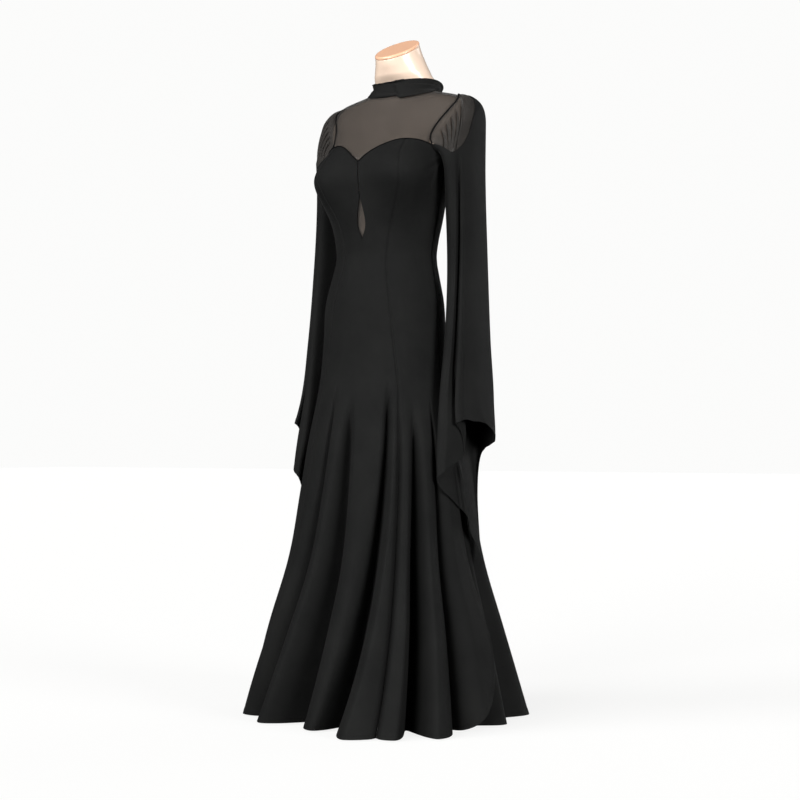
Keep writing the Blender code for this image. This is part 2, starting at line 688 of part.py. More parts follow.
def make_yokes(sheer, collection):
    """The sheer yokes, from the bodice up to the neck band."""
    # Each yoke starts at the armhole where the bodice's edge meets it, and its rows then follow the
    # sleeve's columns.
    turns = np.linspace(20, 90, 141)
    angle, z = armhole_place(turns)
    start = float(turns[np.argmax(z >= heart_edge(angle) - LAP)])
    rows = [start, start + 6] + [t for t in SLEEVE_INNER_COLUMNS if t > start + 10]
    rows += [108, 123, 138, 152, 165, 180]
    cloth("yoke_front", yoke_grid(0, rows, heart_edge, band_edge), sheer, collection)

    angle, z = armhole_place(-turns)
    start = float(turns[np.argmax(z >= BACK_EDGE_Z - LAP)])
    rows = [-start] + [t - 360 for t in reversed(SLEEVE_OUTER_COLUMNS) if 195 < t < 352 - start] + [-180]
    grid = yoke_grid(
        180,
        rows,
        lambda angle: np.full(np.shape(angle), BACK_EDGE_Z),
        lambda angle: band_edge(np.where(angle > 180, angle - 360, angle)),
    )
    cloth("yoke_back", grid, sheer, collection)


def make_band(black, collection):
    """The neck band, a low standing collar in one ring."""
    angles = np.arange(0, 360, 10.0)
    angles = np.sort(np.concatenate([angles, [BAND_LAP_ANGLE, BAND_LAP_ANGLE + 4]]))
    signed = np.where(angles > 180, angles - 360, angles)
    low = band_edge(signed)
    rows = [inside(signed, low + share * (BAND_TOP_Z - low), BAND_IN) for share in (0, 0.25, 0.6, 1.0)]
    cloth("neck_band", np.array(rows), black, collection, closed=True)


def make_keyhole_inset(sheer, collection):
    """The sheer piece that closes the keyhole from behind."""
    heights = np.linspace(KEYHOLE_FOOT_Z - 0.008, KEYHOLE_TOP_Z + 0.008, 6)
    angles = np.linspace(-9.5, 9.5, 5)
    grid = np.array([figure(angles, z, -WALL - SEAM_GAP) for z in heights])
    cloth("keyhole_inset", grid, sheer, collection)


def make_form(skin, steel, collection):
    """The armless torso with its slanted neck, and the pole and foot that carry it."""
    tilt = math.tan(math.radians(NECK_CUT_TILT))
    heights = np.concatenate([np.linspace(FORM_BOTTOM_Z, 1.0, 7), FORM_ROWS, SHOULDER_ROWS, [NECK_CUT_Z]])
    inset = np.interp(heights, FORM_INSET[:, 0], FORM_INSET[:, 1])
    angle = np.arange(FORM_COLUMNS) * 360.0 / FORM_COLUMNS
    angle = np.where(angle > 180, angle - 360, angle)
    grid = inside(angle[None, :], heights[:, None], inset[:, None])
    grid[0, :, 2] = FORM_BOTTOM_Z
    # The rows above the shoulders lean over until they lie in the slanted cut.
    middle_y = NECK_CUT_MIDDLE_Y
    lean = smoothstep((heights - NECK_LEAN_FROM) / (NECK_CUT_Z - NECK_LEAN_FROM))
    grid[..., 2] += lean[:, None] * (grid[..., 1] - middle_y) * tilt
    rows, columns = grid.shape[:2]
    verts = [tuple(p) for p in grid.reshape(-1, 3)]
    faces = []
    for i in range(rows - 1):
        for j in range(columns):
            k = (j + 1) % columns
            faces.append((i * columns + j, i * columns + k, (i + 1) * columns + k, (i + 1) * columns + j))
    faces.append(tuple(reversed(range(columns))))
    faces.append(tuple((rows - 1) * columns + j for j in range(columns)))
    mesh = bpy.data.meshes.new("form_torso")
    mesh.from_pydata(verts, [], faces)
    torso = new_object("form_torso", mesh, skin, collection)
    torso.data.polygons[len(faces) - 1].use_smooth = False
    torso.data.polygons[len(faces) - 2].use_smooth = False

    bpy.ops.mesh.primitive_cylinder_add(
        vertices=16,
        radius=POLE_RADIUS,
        depth=FORM_BOTTOM_Z - FOOT_THICKNESS - 2 * JOINT_GAP,
        location=(0, 0, (FORM_BOTTOM_Z + FOOT_THICKNESS) / 2),
    )
    take("form_pole", steel, collection)
    bpy.ops.mesh.primitive_cylinder_add(
        vertices=48, radius=FOOT_RADIUS, depth=FOOT_THICKNESS, location=(0, 0, FOOT_THICKNESS / 2)
    )
    foot = take("form_foot", steel, collection)
    bevel = foot.modifiers.new("edge", "BEVEL")
    bevel.width, bevel.segments, bevel.limit_method = FOOT_BEVEL, 1, "ANGLE"


def take(name, material, collection):
    """Names the object just added and moves it into the dress's collection."""
    obj = bpy.context.object
    for old in list(obj.users_collection):
        old.objects.unlink(obj)
    collection.objects.link(obj)
    obj.name = obj.data.name = name
    obj.data.materials.append(material)
    return obj


def main():
    for obj in list(bpy.data.objects):
        bpy.data.objects.remove(obj)
    dress = bpy.data.collections.new("ballroom_dress")
    bpy.context.scene.collection.children.link(dress)
    black = new_material("black_crepe", CLOTH)
    sheer = new_material("black_mesh", SHEER)
    skin = new_material("form_shell", SKIN)
    steel = new_material("brushed_steel", STEEL, metallic=1.0)
    make_form(skin, steel, dress)
    make_gores(black, dress)
    make_keyhole_inset(sheer, dress)
    make_yokes(sheer, dress)
    make_band(black, dress)
    make_sleeves(black, sheer, dress)


main()
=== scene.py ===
# %% [markdown]
# # A ballroom dance dress on its form
#
# The dress is a long gown of black stretch crepe. Seven gores run from the heart-shaped neckline to the
# floor, fine mesh closes the shoulders, and two wide sleeves fall in points. This lesson dresses the
# plain model in real cloth: each pattern piece becomes a fine sheet with its own folds, seams and hems.
#
# We start by loading the plain model. It gives the size and the place of everything that follows.

# %% Load the plain model
import math

import bmesh
import bpy
import numpy as np
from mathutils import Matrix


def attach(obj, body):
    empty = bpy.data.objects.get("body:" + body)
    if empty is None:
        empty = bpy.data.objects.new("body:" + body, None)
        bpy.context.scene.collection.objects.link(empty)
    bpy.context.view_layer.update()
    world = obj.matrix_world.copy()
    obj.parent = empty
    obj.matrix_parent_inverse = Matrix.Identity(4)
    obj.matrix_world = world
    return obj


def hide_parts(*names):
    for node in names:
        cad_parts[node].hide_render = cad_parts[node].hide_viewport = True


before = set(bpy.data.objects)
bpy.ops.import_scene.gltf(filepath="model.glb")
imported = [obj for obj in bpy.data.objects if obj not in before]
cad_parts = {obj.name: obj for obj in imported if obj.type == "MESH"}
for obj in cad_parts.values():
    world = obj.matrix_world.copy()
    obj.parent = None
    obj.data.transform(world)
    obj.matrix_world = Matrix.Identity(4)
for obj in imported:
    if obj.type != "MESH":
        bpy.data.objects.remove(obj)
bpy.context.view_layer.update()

# %% [markdown]
# ## Camera, floor and light
#
# A gown is shown from a step away at hip height, a little to its left. A long lens keeps the skirt from
# swelling towards us. The floor and the air round it are nearly white. Folds in black cloth show only
# where one flank is lit and the other isn't, so the lamps stand low and well apart: one in front, one
# at the gown's left side, a higher one in front to its right, and a weak one behind.

# %% Camera and floor
CAMERA_TURN = 33.0  # degrees towards the wearer's left
CAMERA_AWAY, CAMERA_HEIGHT, CAMERA_LENS = 3.6, 0.6, 72.25
CAMERA_PITCH, CAMERA_YAW = 1.62, -0.5  # degrees up, and round to the left
FLOOR_SIZE, FLOOR_DROP = 60, 0.0005
FLOOR_GREY, FLOOR_GLOW = (0.17, 0.17, 0.169), 0.838
WHITE = (1.0, 1.0, 0.993, 1.0)


def aim_camera():
    """A camera on a circle round the stand, looking at the middle of the gown."""
    turn = math.radians(CAMERA_TURN)
    camera = bpy.data.objects.new("camera", bpy.data.cameras.new("camera"))
    camera.data.lens = CAMERA_LENS
    camera.location = (math.sin(turn) * CAMERA_AWAY, -math.cos(turn) * CAMERA_AWAY, CAMERA_HEIGHT)
    camera.rotation_euler = (math.radians(90 + CAMERA_PITCH), 0, math.radians(CAMERA_TURN + CAMERA_YAW))
    bpy.context.scene.collection.objects.link(camera)
    bpy.context.scene.camera = camera


def new_shader(name, color, roughness, **sockets):
    """A material with one Principled shader. Returns the material, its nodes, its links and the
    shader."""
    material = bpy.data.materials.new(name)
    material.use_nodes = True
    nodes, links = material.node_tree.nodes, material.node_tree.links
    shader = nodes["Principled BSDF"]
    shader.inputs["Base Color"].default_value = (*color, 1.0)
    shader.inputs["Roughness"].default_value = roughness
    for socket, value in sockets.items():
        shader.inputs[socket.replace("_", " ")].default_value = value
    return material, nodes, links, shader


def lay_floor():
    """A wide white floor with light of its own, none of which is thrown back up on the dark cloth."""
    bpy.ops.mesh.primitive_plane_add(size=FLOOR_SIZE, location=(0, 0, -FLOOR_DROP))
    floor = bpy.context.object
    floor.name = "studio_floor"
    glow = {"Emission_Color": WHITE, "Emission_Strength": FLOOR_GLOW}
    floor.data.materials.append(new_shader("pale_floor", FLOOR_GREY, 0.9, **glow)[0])
    floor.visible_diffuse = False
    floor.visible_glossy = False


aim_camera()
lay_floor()
print("camera", CAMERA_AWAY, "m away,", CAMERA_TURN, "degrees round")

# %% Lamps
LAMPS = {  # degrees round from the front towards the wearer's left, degrees above level, strength
    "front": (0.0, 12.0, 2.87),
    "left_side": (80.0, 12.0, 2.55),
    "front_right": (-40.0, 40.0, 1.80),
    "back": (160.0, 12.0, 0.52),
}
LAMP_SPREAD = 30.0  # how wide each lamp looks from the gown, in degrees: the wider, the softer
AIR_SEEN, AIR_LIGHT = 0.97, 0.03


def hang_lamps():
    """Wide soft lamps so far away that each is only a direction, turned about level and then about
    upright."""
    for name, (turn, rise, strength) in LAMPS.items():
        lamp = bpy.data.objects.new(name, bpy.data.lights.new(name, "SUN"))
        lamp.data.energy, lamp.data.angle = strength, math.radians(LAMP_SPREAD)
        lamp.rotation_euler = (math.radians(90 - rise), 0, math.radians(turn))
        bpy.context.scene.collection.objects.link(lamp)


def fill_air():
    """Nearly white air to look at, which itself gives only a little light."""
    world = bpy.context.scene.world or bpy.data.worlds.new("studio")
    bpy.context.scene.world = world
    world.use_nodes = True
    nodes, links = world.node_tree.nodes, world.node_tree.links
    path, mix = nodes.new("ShaderNodeLightPath"), nodes.new("ShaderNodeMixShader")
    light, seen = nodes["Background"], nodes.new("ShaderNodeBackground")
    for place, (background, strength) in enumerate(((light, AIR_LIGHT), (seen, AIR_SEEN)), start=1):
        background.inputs["Color"].default_value = WHITE
        background.inputs["Strength"].default_value = strength
        links.new(background.outputs["Background"], mix.inputs[place])
    links.new(path.outputs["Is Camera Ray"], mix.inputs["Fac"])
    links.new(mix.outputs["Shader"], nodes["World Output"].inputs["Surface"])


hang_lamps()
fill_air()
bpy.context.scene.view_settings.view_transform = "Standard"
print(len(LAMPS), "lamps")

# %% [markdown]
# ## The cloth of the gown
#
# Stretch crepe is dull and slightly pebbled, with a faint bloom where the light grazes it. Three things
# make it: a dark base that is nowhere quite even, a fine grain raised as a bump, and the shader's
# sheen. The grain follows each sheet's own cloth coordinates, in metres along the weave, so that it
# bends with the folds.

# %% Colour and bump
WEAVE_HEIGHT, WEAVE_WOBBLE, PEBBLE_SHARE = 0.0003, 0.6, 1.6


def node(nodes, kind, **values):
    """A node of that kind with its named inputs and settings filled in."""
    made = nodes.new(kind)
    for key, value in values.items():
        if key in made.inputs:
            made.inputs[key].default_value = value
        else:
            setattr(made, key, value)
    return made


def painted(name, base, roughness, dark, light, scale, **sockets):
    """A shader with two close colours blended by a soft noise over the piece: no surface is one flat
    colour."""
    material, nodes, links, shader = new_shader(name, base, roughness, **sockets)
    place = nodes.new("ShaderNodeTexCoord")
    noise = node(nodes, "ShaderNodeTexNoise", Scale=scale, Detail=4.0, Roughness=0.55)
    ramp = nodes.new("ShaderNodeValToRGB")
    for element, color, position in zip(ramp.color_ramp.elements, (dark, light), (0.3, 0.7)):
        element.color, element.position = (*color, 1.0), position
    links.new(place.outputs["Object"], noise.inputs["Vector"])
    links.new(noise.outputs["Fac"], ramp.inputs["Fac"])
    links.new(ramp.outputs["Color"], shader.inputs["Base Color"])
    return material, nodes, links, shader


def raise_bump(nodes, links, shader, height, strength, distance):
    """Raises a pattern as a bump in the shader's surface."""
    bump = node(nodes, "ShaderNodeBump", Strength=strength, Distance=distance)
    links.new(height, bump.inputs["Height"])
    links.new(bump.outputs["Normal"], shader.inputs["Normal"])


def weave(nodes, links, shader, thread, strength, pebble):
    """Threads a set distance apart both ways, as the sum of two sine ridges, and a pebbled noise over
    them."""
    cloth = node(nodes, "ShaderNodeUVMap", uv_map="cloth").outputs["UV"]
    ridges = node(nodes, "ShaderNodeMath", operation="ADD")
    for place, direction in enumerate(("X", "Y")):
        wave = node(nodes, "ShaderNodeTexWave", bands_direction=direction, Distortion=WEAVE_WOBBLE)
        wave.inputs["Detail"].default_value = 1.0
        wave.inputs["Scale"].default_value = math.pi / (10 * thread)
        links.new(cloth, wave.inputs["Vector"])
        links.new(wave.outputs["Fac"], ridges.inputs[place])
    noise = node(nodes, "ShaderNodeTexNoise", Scale=pebble, Detail=2.0)
    total = node(nodes, "ShaderNodeMath", operation="MULTIPLY_ADD")
    total.inputs[1].default_value = PEBBLE_SHARE
    links.new(cloth, noise.inputs["Vector"])
    links.new(noise.outputs["Fac"], total.inputs[0])
    links.new(ridges.outputs[0], total.inputs[2])
    raise_bump(nodes, links, shader, total.outputs[0], strength, WEAVE_HEIGHT)


print("colour and bump ready")

# %% Black crepe
CREPE_BLACK, CREPE_GREY = (0.0079, 0.0081, 0.0080), (0.0114, 0.0116, 0.0112)
CLOTH_ROUGHNESS, SHEEN_ROUGHNESS = 0.62, 0.4


def make_crepe():
    """Dull black stretch crepe with a faint bloom."""
    material, *parts = painted(
        "black_crepe_cloth", CREPE_BLACK, CLOTH_ROUGHNESS, CREPE_BLACK, CREPE_GREY, 9.0,
        Sheen_Weight=0.023, Sheen_Roughness=SHEEN_ROUGHNESS, Specular_IOR_Level=0.057,
    )
    weave(*parts, thread=0.0007, strength=0.35, pebble=900.0)
    return material


CREPE = (make_crepe(), "black_crepe", 0.0008)  # a cloth: its material, its slot and its thickness
print("made", CREPE[0].name)

# %% [markdown]
# Stretch mesh is a net too fine to see from a step away. We see through it, only darker. Threads
# modelled one by one would take millions of faces, so a fixed alpha does that: a little less than half
# of the light passes, once on its way in and once on its way out. The net itself is a fine grain in
# colour and bump, for a close look.

# %% Black mesh
MESH_BROWN, MESH_DARK, MESH_PALE = (0.027, 0.022, 0.018), (0.018, 0.015, 0.012), (0.036, 0.030, 0.025)
MESH_ALPHA = 0.565


def make_mesh():
    """Sheer black stretch mesh."""
    material, *parts = painted(
        "black_mesh_cloth", MESH_BROWN, CLOTH_ROUGHNESS, MESH_DARK, MESH_PALE, 12.0,
        Sheen_Weight=0.08, Sheen_Roughness=SHEEN_ROUGHNESS, Alpha=MESH_ALPHA,
    )
    weave(*parts, thread=0.0009, strength=0.5, pebble=700.0)
    return material


MESH = (make_mesh(), "black_mesh", 0.0005)
print("made", MESH[0].name)

# %% [markdown]
# ## The form and its stand
#
# The form is a moulded shell with a glossy flesh-toned lacquer. Its neck is cut on a slant and closed
# by a darker cap. The stand is brushed steel, streaked round its axis. The lacquer has a clear coat
# over a soft base, and hardly any grain.

# %% Lacquer, cap and steel
LACQUER, CAP = (0.96, 0.745, 0.590), (0.95, 0.55, 0.35)
STEEL_GREY, STEEL_DARK, STEEL_PALE = (0.60, 0.60, 0.62), (0.55, 0.55, 0.57), (0.66, 0.66, 0.68)
STREAKS = (40.0, 40.0, 1400.0)  # how fine the brushing is along X, Y and Z


def grain(nodes, links, shader, strength, distance, stretch, **noise):
    """A fine noise raised as a bump, drawn out by the stretch if there is one."""
    place = nodes.new("ShaderNodeTexCoord").outputs["Object"]
    if stretch:
        mapping = node(nodes, "ShaderNodeMapping", Scale=stretch)
        links.new(place, mapping.inputs["Vector"])
        place = mapping.outputs["Vector"]
    ripple = node(nodes, "ShaderNodeTexNoise", **noise)
    links.new(place, ripple.inputs["Vector"])
    raise_bump(nodes, links, shader, ripple.outputs["Fac"], strength, distance)


def make_lacquer(name, color, roughness):
    """Glossy lacquer: an even base under a clear coat, with a faint orange-peel ripple."""
    paler = tuple(min(1.0, c * 1.05) for c in color)
    coat = {"Coat_Weight": 0.6, "Coat_Roughness": 0.12, "Subsurface_Weight": 0.0}
    material, *parts = painted(name, color, roughness, color, paler, 5.0, **coat)
    grain(*parts, 0.04, 0.0004, None, Scale=160.0, Detail=1.0)
    return material


def make_steel():
    """Brushed steel: fine streaks in a bump."""
    colors = (STEEL_DARK, STEEL_PALE)
    material, *parts = painted("brushed_steel_finish", STEEL_GREY, 0.3, *colors, 30.0, Metallic=1.0)
    grain(*parts, 0.1, 0.0002, STREAKS, Scale=1.0, Detail=3.0)
    return material


lacquer = make_lacquer("flesh_lacquer", LACQUER, 0.30)
cap_lacquer = make_lacquer("cap_lacquer", CAP, 0.38)
steel = make_steel()
for name in ("form_pole", "form_foot"):
    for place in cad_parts[name].material_slots:
        place.material = steel
print("made", lacquer.name, cap_lacquer.name, steel.name)

# %% [markdown]
# ## The figure under the dress
#
# The dress fits like a second skin from the shoulders to the hips, so its surface is the figure's
# surface. We describe that by level sections: half ovals in front and behind, whose widths come from a
# table of heights. Two rounded bumps add the cups. A pattern cutter works the same way, with girths
# taken at fixed heights.
#
# An angle round the figure is 0 at the centre front, 90 at the wearer's left side and 180 at the back.

# %% Level sections
# Height, half width, depth in front of and behind the widest line, and where that line lies in Y, first
# in millimetres.
SECTIONS = np.array([
    (0, 290, 290, 312, 0), (120, 262, 262, 276, 0),
    (200, 243, 242, 252, 0), (340, 209, 203, 216, -2),
    (500, 188, 174, 188, -4), (612, 174, 154, 168, -6),
    (700, 158, 134, 149, -8), (747, 151, 120, 138, -10),
    (836, 144, 110, 130, -10), (926, 139, 106, 117, -8),
    (970, 129, 101, 104, -3), (1020, 119, 96, 95, 2),
    (1055, 122, 100, 98, 4), (1100, 129, 109, 106, 8),
    (1150, 136, 119, 112, 12), (1200, 142, 129, 112, 16),
    (1240, 146, 129, 108, 22), (1280, 151, 104, 103, 30),
    (1320, 160, 80, 92, 40), (1350, 168, 66, 80, 48),
    (1368, 170, 60, 70, 54), (1380, 163, 58, 66, 59),
    (1388, 150, 57, 63, 63), (1394, 129, 57, 62, 67),
    (1400, 105, 57, 61, 71), (1408, 86, 58, 60, 78),
    (1420, 72, 61, 60, 88), (1440, 59, 55, 55, 73),
    (1470, 50, 50, 50, 58), (1550, 47, 48, 46, 36),
]) / 1000
# The cups: a rounded fullness on each side of the centre front.
CUP_ANGLE, CUP_SPREAD, CUP_Z, CUP_FULLNESS = 43.0, 22.0, 1.187, 0.038
CUP_REACH_DOWN, CUP_REACH_UP = 0.070, 0.058


def smooth_table(table, at):
    """Every column of a table read at the values of its first column, along a cubic curve through its
    rows."""
    keys, values = table[:, 0], table[:, 1:]
    slopes = np.gradient(values, keys, axis=0)
    at = np.clip(np.asarray(at, float), keys[0], keys[-1])
    low = np.clip(np.searchsorted(keys, at, side="right") - 1, 0, len(keys) - 2)
    span = keys[low + 1] - keys[low]
    f = ((at - keys[low]) / span)[..., None]
    span = span[..., None]
    return (
        (2 * f**3 - 3 * f**2 + 1) * values[low]
        + (f**3 - 2 * f**2 + f) * span * slopes[low]
        + (3 * f**2 - 2 * f**3) * values[low + 1]
        + (f**3 - f**2) * span * slopes[low + 1]
    )


def smoothstep(x):
    """0 up to 0, 1 from 1 on, and x * x * (3 - 2 * x) between them."""
    x = np.clip(x, 0.0, 1.0)
    return x * x * (3 - 2 * x)


def bell(distance, reach):
    """1 on the line, falling to 0 as a bell curve."""
    return np.exp(-((distance / reach) ** 2))


def unit(vectors):
    """Vectors made one metre long."""
    return vectors / np.linalg.norm(vectors, axis=-1, keepdims=True)


def figure(angle, z, out=0.0):
    """Points on the worn dress's outer surface, moved outwards by out: an oval section, swelled at the
    cups by a bell curve round the body times one up and down it."""
    angle, z = np.broadcast_arrays(np.asarray(angle, float), np.asarray(z, float))
    width, front, back, middle = np.moveaxis(smooth_table(SECTIONS, z), -1, 0)
    turn = np.radians(angle)
    depth = np.where(np.cos(turn) > 0, front, back)
    cup_height = bell(z - CUP_Z, np.where(z < CUP_Z, CUP_REACH_DOWN, CUP_REACH_UP))
    grow = out + CUP_FULLNESS * bell(np.abs(angle) - CUP_ANGLE, CUP_SPREAD) * cup_height
    return np.stack([(width + grow) * np.sin(turn), middle - (depth + grow) * np.cos(turn), z], axis=-1)


def inside(angle, z, distance):
    """Points that lie inside the dress's outer surface by a distance along its normals."""
    angle, z = np.broadcast_arrays(np.asarray(angle, float), np.asarray(z, float))
    round_about = figure(angle + 0.2, z) - figure(angle - 0.2, z)
    upwards = figure(angle, z + 0.002) - figure(angle, z - 0.002)
    return figure(angle, z) - unit(np.cross(round_about, upwards)) * np.asarray(distance, float)[..., None]


for name, z in (("waist", 1.02), ("hip", 0.836)):
    print(name, round(2 * float(figure(90, z)[0]), 3), "m wide")

# %% [markdown]
# ## From points to cloth
#
# Each sheet is a grid of points: rows go up, columns go round. The faces between them are worked out
# all at once as arrays of corner numbers. We also lay down cloth coordinates: how many metres each
# corner lies along the weave and across it. Then a Solidify modifier gives the sheet its wall.

# %% Grid to mesh
AXIS_Y = 0.03  # where the middle of a piece lies in Y, to tell its outside from its inside
WELD = 1e-6  # points nearer than this are one


def lengths(points, axis):
    """Metres walked along the grid from its first row or column, by adding up the steps."""
    steps = np.linalg.norm(np.diff(points, axis=axis), axis=-1)
    start = np.zeros_like(np.take(steps, [0], axis=axis))
    return np.concatenate([start, np.cumsum(steps, axis=axis)], axis=axis)


def grid_mesh(name, points, closed=False, slit=None, axis_x=0.0):
    """Quads between the points of a grid. closed joins the last column to the first. slit is a column
    after which nothing is joined: its neighbour lies in the same place where the cloth is whole."""
    rows, columns = points.shape[:2]
    wide = np.concatenate([points, points[:, :1]], axis=1) if closed else points
    across, up = lengths(wide, 1), lengths(wide, 0)
    across = across - across[:, [wide.shape[1] // 2]]
    row, column = (side.ravel() for side in np.mgrid[0 : rows - 1, 0 : wide.shape[1] - 1])
    if slit is not None:
        row, column = row[column != slit], column[column != slit]
    corner_rows = np.stack([row, row, row + 1, row + 1], axis=1)
    corner_columns = np.stack([column, column + 1, column + 1, column], axis=1)
    a, b, c = (wide[corner_rows[:, k], corner_columns[:, k]] for k in (0, 1, 3))
    normal = np.cross(b - a, c - a)
    outwards = (a[:, 0] - axis_x) * normal[:, 0] + (a[:, 1] - AXIS_Y) * normal[:, 1]
    if outwards.sum() < 0:
        corner_rows, corner_columns = corner_rows[:, ::-1], corner_columns[:, ::-1]
    mesh = bpy.data.meshes.new(name)
    faces = corner_rows * columns + corner_columns % columns
    mesh.from_pydata(points.reshape(-1, 3), [], faces.tolist())
    cloth = mesh.uv_layers.new(name="cloth")
    places = np.stack([across[corner_rows, corner_columns], up[corner_rows, corner_columns]], axis=-1)
    cloth.data.foreach_set("uv", places.astype(np.float32).ravel())
    mesh.shade_smooth()
    return mesh


def mend(mesh, ring=0, weld=False):
    """Closes a tube of rings at both ends, or welds points that lie together, and turns a closed skin
    outwards."""
    work = bmesh.new()
    work.from_mesh(mesh)
    work.verts.ensure_lookup_table()
    if ring:
        for end in (work.verts[:ring], work.verts[-ring:]):
            work.faces.new(end)
    if weld:
        bmesh.ops.remove_doubles(work, verts=work.verts, dist=WELD)
    if not any(edge.is_boundary for edge in work.edges):
        bmesh.ops.recalc_face_normals(work, faces=work.faces)
    work.to_mesh(mesh)
    work.free()
    return mesh


def place_piece(name, mesh, material, stands_for=None):
    """An object for the mesh that rides with the part and stands for its plain node."""
    piece = bpy.data.objects.new(name, mesh)
    piece.data.materials.append(material)
    bpy.context.scene.collection.objects.link(piece)
    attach(piece, "root")
    if stands_for:
        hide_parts(stands_for)
    return piece


def lay_cloth(
    name, points, cloth, stands_for, closed=False, slit=None, axis_x=0.0
):
    """One sheet of cloth, with its wall on the inside."""
    material, slot, wall = cloth
    mesh = grid_mesh(name, points, closed, slit, axis_x)
    if slit is not None:
        mend(mesh, weld=True)
    piece = place_piece(name, mesh, material, stands_for)
    solidify = piece.modifiers.new("wall", "SOLIDIFY")
    solidify.thickness, solidify.offset, solidify.use_even_offset = wall, -1.0, False
    return piece


print("grids ready")

# %% [markdown]
# ## The form
#
# A display form is moulded in one shell: a smooth torso without arms, a short neck leaned back to
# front, and a cap let into the neck's slanted cut. We take the dress's own surface, set in by a few
# millimetres, and carry it on up the neck. The top rows tip over little by little until they lie in the
# cut.

# %% The torso and the neck cap
# Height, and how far the form lies inside the dress's surface. Above the collar it stands out of it.
FORM_INSET = np.array([
    (0.720, 0.0062), (1.050, 0.0062), (1.120, 0.0080), (1.240, 0.0080), (1.330, 0.0072),
    (1.370, 0.0085), (1.402, 0.0082), (1.412, 0.0060), (1.422, -0.0060), (1.445, -0.0085),
    (1.503, -0.0030),
])
NECK_CUT_Z, NECK_CUT_TILT, NECK_CUT_MIDDLE_Y, NECK_LEAN_FROM = 1.509, 30.0, 0.053, 1.420
FORM_BOTTOM_Z, CAP_FROM_Z = 0.72, 1.502
FOOT_EDGE = 0.0015  # the torso's lowest edge is turned in by this much
SHOULDER_END = 0.015  # how far the form's rounded shoulder stands out inside the armhole
SHOULDER_ANGLE, SHOULDER_REACH, SHOULDER_Z, SHOULDER_HEIGHT = 86.0, 24.0, 1.310, 0.058
CAP_STEPS = ((-0.5, -0.8), (0, 0.4), (2, 0.6), (3.5, 0.6), (4.8, 0.4), (5.8, -0.2), (6.6, -1.2), (7, -2.6))


def form_surface(angle, z, out=0.0):
    """The form's surface: the dress's, set in along its normals, domed out at the ends of the shoulders,
    and tipped over above them by z + lean * (y - middle) * tilt."""
    across, high = (np.abs(angle) - SHOULDER_ANGLE) / SHOULDER_REACH, (z - SHOULDER_Z) / SHOULDER_HEIGHT
    dome = np.clip(1 - across**2 - high**2, 0, 1)
    points = inside(angle, z, np.interp(z, *FORM_INSET.T) - out - SHOULDER_END * dome)
    lean = smoothstep((z - NECK_LEAN_FROM) / (NECK_CUT_Z - NECK_LEAN_FROM))
    points[..., 2] += lean * (points[..., 1] - NECK_CUT_MIDDLE_Y) * math.tan(math.radians(NECK_CUT_TILT))
    return points


def lay_tube(name, points, material, stands_for=None):
    """A tube of rings, closed at both ends by one many-sided face."""
    mesh = mend(grid_mesh(name, points, closed=True), ring=points.shape[1])
    return place_piece(name, mesh, material, stands_for)


round_angles = np.arange(0.0, 360.0, 2.5)[None, :]
round_angles = np.where(round_angles > 180, round_angles - 360, round_angles)
body = np.concatenate([np.linspace(0.725, 1.30, 75), np.linspace(1.305, CAP_FROM_Z, 60)])
heights = np.concatenate([[FORM_BOTTOM_Z, FORM_BOTTOM_Z + 0.001], body])[:, None]
edge = np.where(heights == FORM_BOTTOM_Z, -FOOT_EDGE, 0.0)
torso = lay_tube("torso_shell", form_surface(round_angles, heights, edge), lacquer, stands_for="form_torso")
cap_up, cap_out = (np.array(CAP_STEPS)[:, [k]] / 1000 for k in (0, 1))
cap = lay_tube("neck_cap", form_surface(round_angles, CAP_FROM_Z + cap_up, cap_out), cap_lacquer)
print("torso", len(torso.data.polygons), "faces, cap", len(cap.data.polygons))

# %% [markdown]
# ## The gores
#
# Seven long gores are sewn edge to edge. Each runs in one piece from the top of the bodice to the
# floor, narrow at the waist and wide at the hem. Godet-like folds form by themselves where the extra
# width hangs: a fold is a crest or a valley that starts below the hip and deepens as it falls. A table
# lists them, and the surface between two rows of the table follows a half wave, or a sharper arc where
# the cloth is creased.

# %% Seams, folds and edges
# How the princess seams move round the figure: height, and the angle of the front and of the back one.
PRINCESS = np.array([
    (0.720, 41.0, 139.0), (0.836, 35.0, 143.0), (0.926, 31.0, 147.0), (1.020, 28.0, 150.0),
    (1.055, 30.0, 149.0), (1.160, 37.0, 146.0), (1.280, 37.0, 144.0),
])
HIP_FRONT_SEAM, SIDE_SEAM, HIP_BACK_SEAM = 41.0, 90.0, 139.0
# The skirt's folds, one row for each crest and each valley of a gore: its angle at the hip and at the
# hem, how far the hem stands from its smooth line in millimetres, and whether the fold is a crease and
# not a soft wave. The front folds swing towards the wearer's right as they fall.
FRONT_CENTRE_FOLDS = [
    (-41.0, -68.0, -22, True), (-29.0, -59.0, 30, False), (-17.0, -49.0, -24, True),
    (-9.0, -35.0, 8, False), (0.0, -22.0, -66, False), (17.0, -4.0, -24, False),
    (32.0, 5.0, -58, False), (37.5, 18.0, 42, False), (41.0, 29.0, 22, True),
]
SIDE_FRONT_LEFT_FOLDS = [
    (41.0, 29.0, 22, True), (46.0, 36.0, 40, False), (53.0, 44.0, -34, False),
    (60.0, 52.0, 42, False), (70.0, 65.0, -30, True), (79.0, 78.0, 16, False),
    (90.0, 92.0, 22, False),
]
SIDE_FRONT_RIGHT_FOLDS = [
    (41.0, 68.0, -22, True), (56.0, 76.0, 26, False), (73.0, 84.0, -24, False),
    (90.0, 92.0, 22, False),
]
SIDE_BACK_FOLDS = [
    (90.0, 82.0, -44, False), (98.0, 94.0, 4, False), (108.0, 105.0, -38, False),
    (120.0, 120.0, 24, False), (139.0, 134.0, -26, True),
]
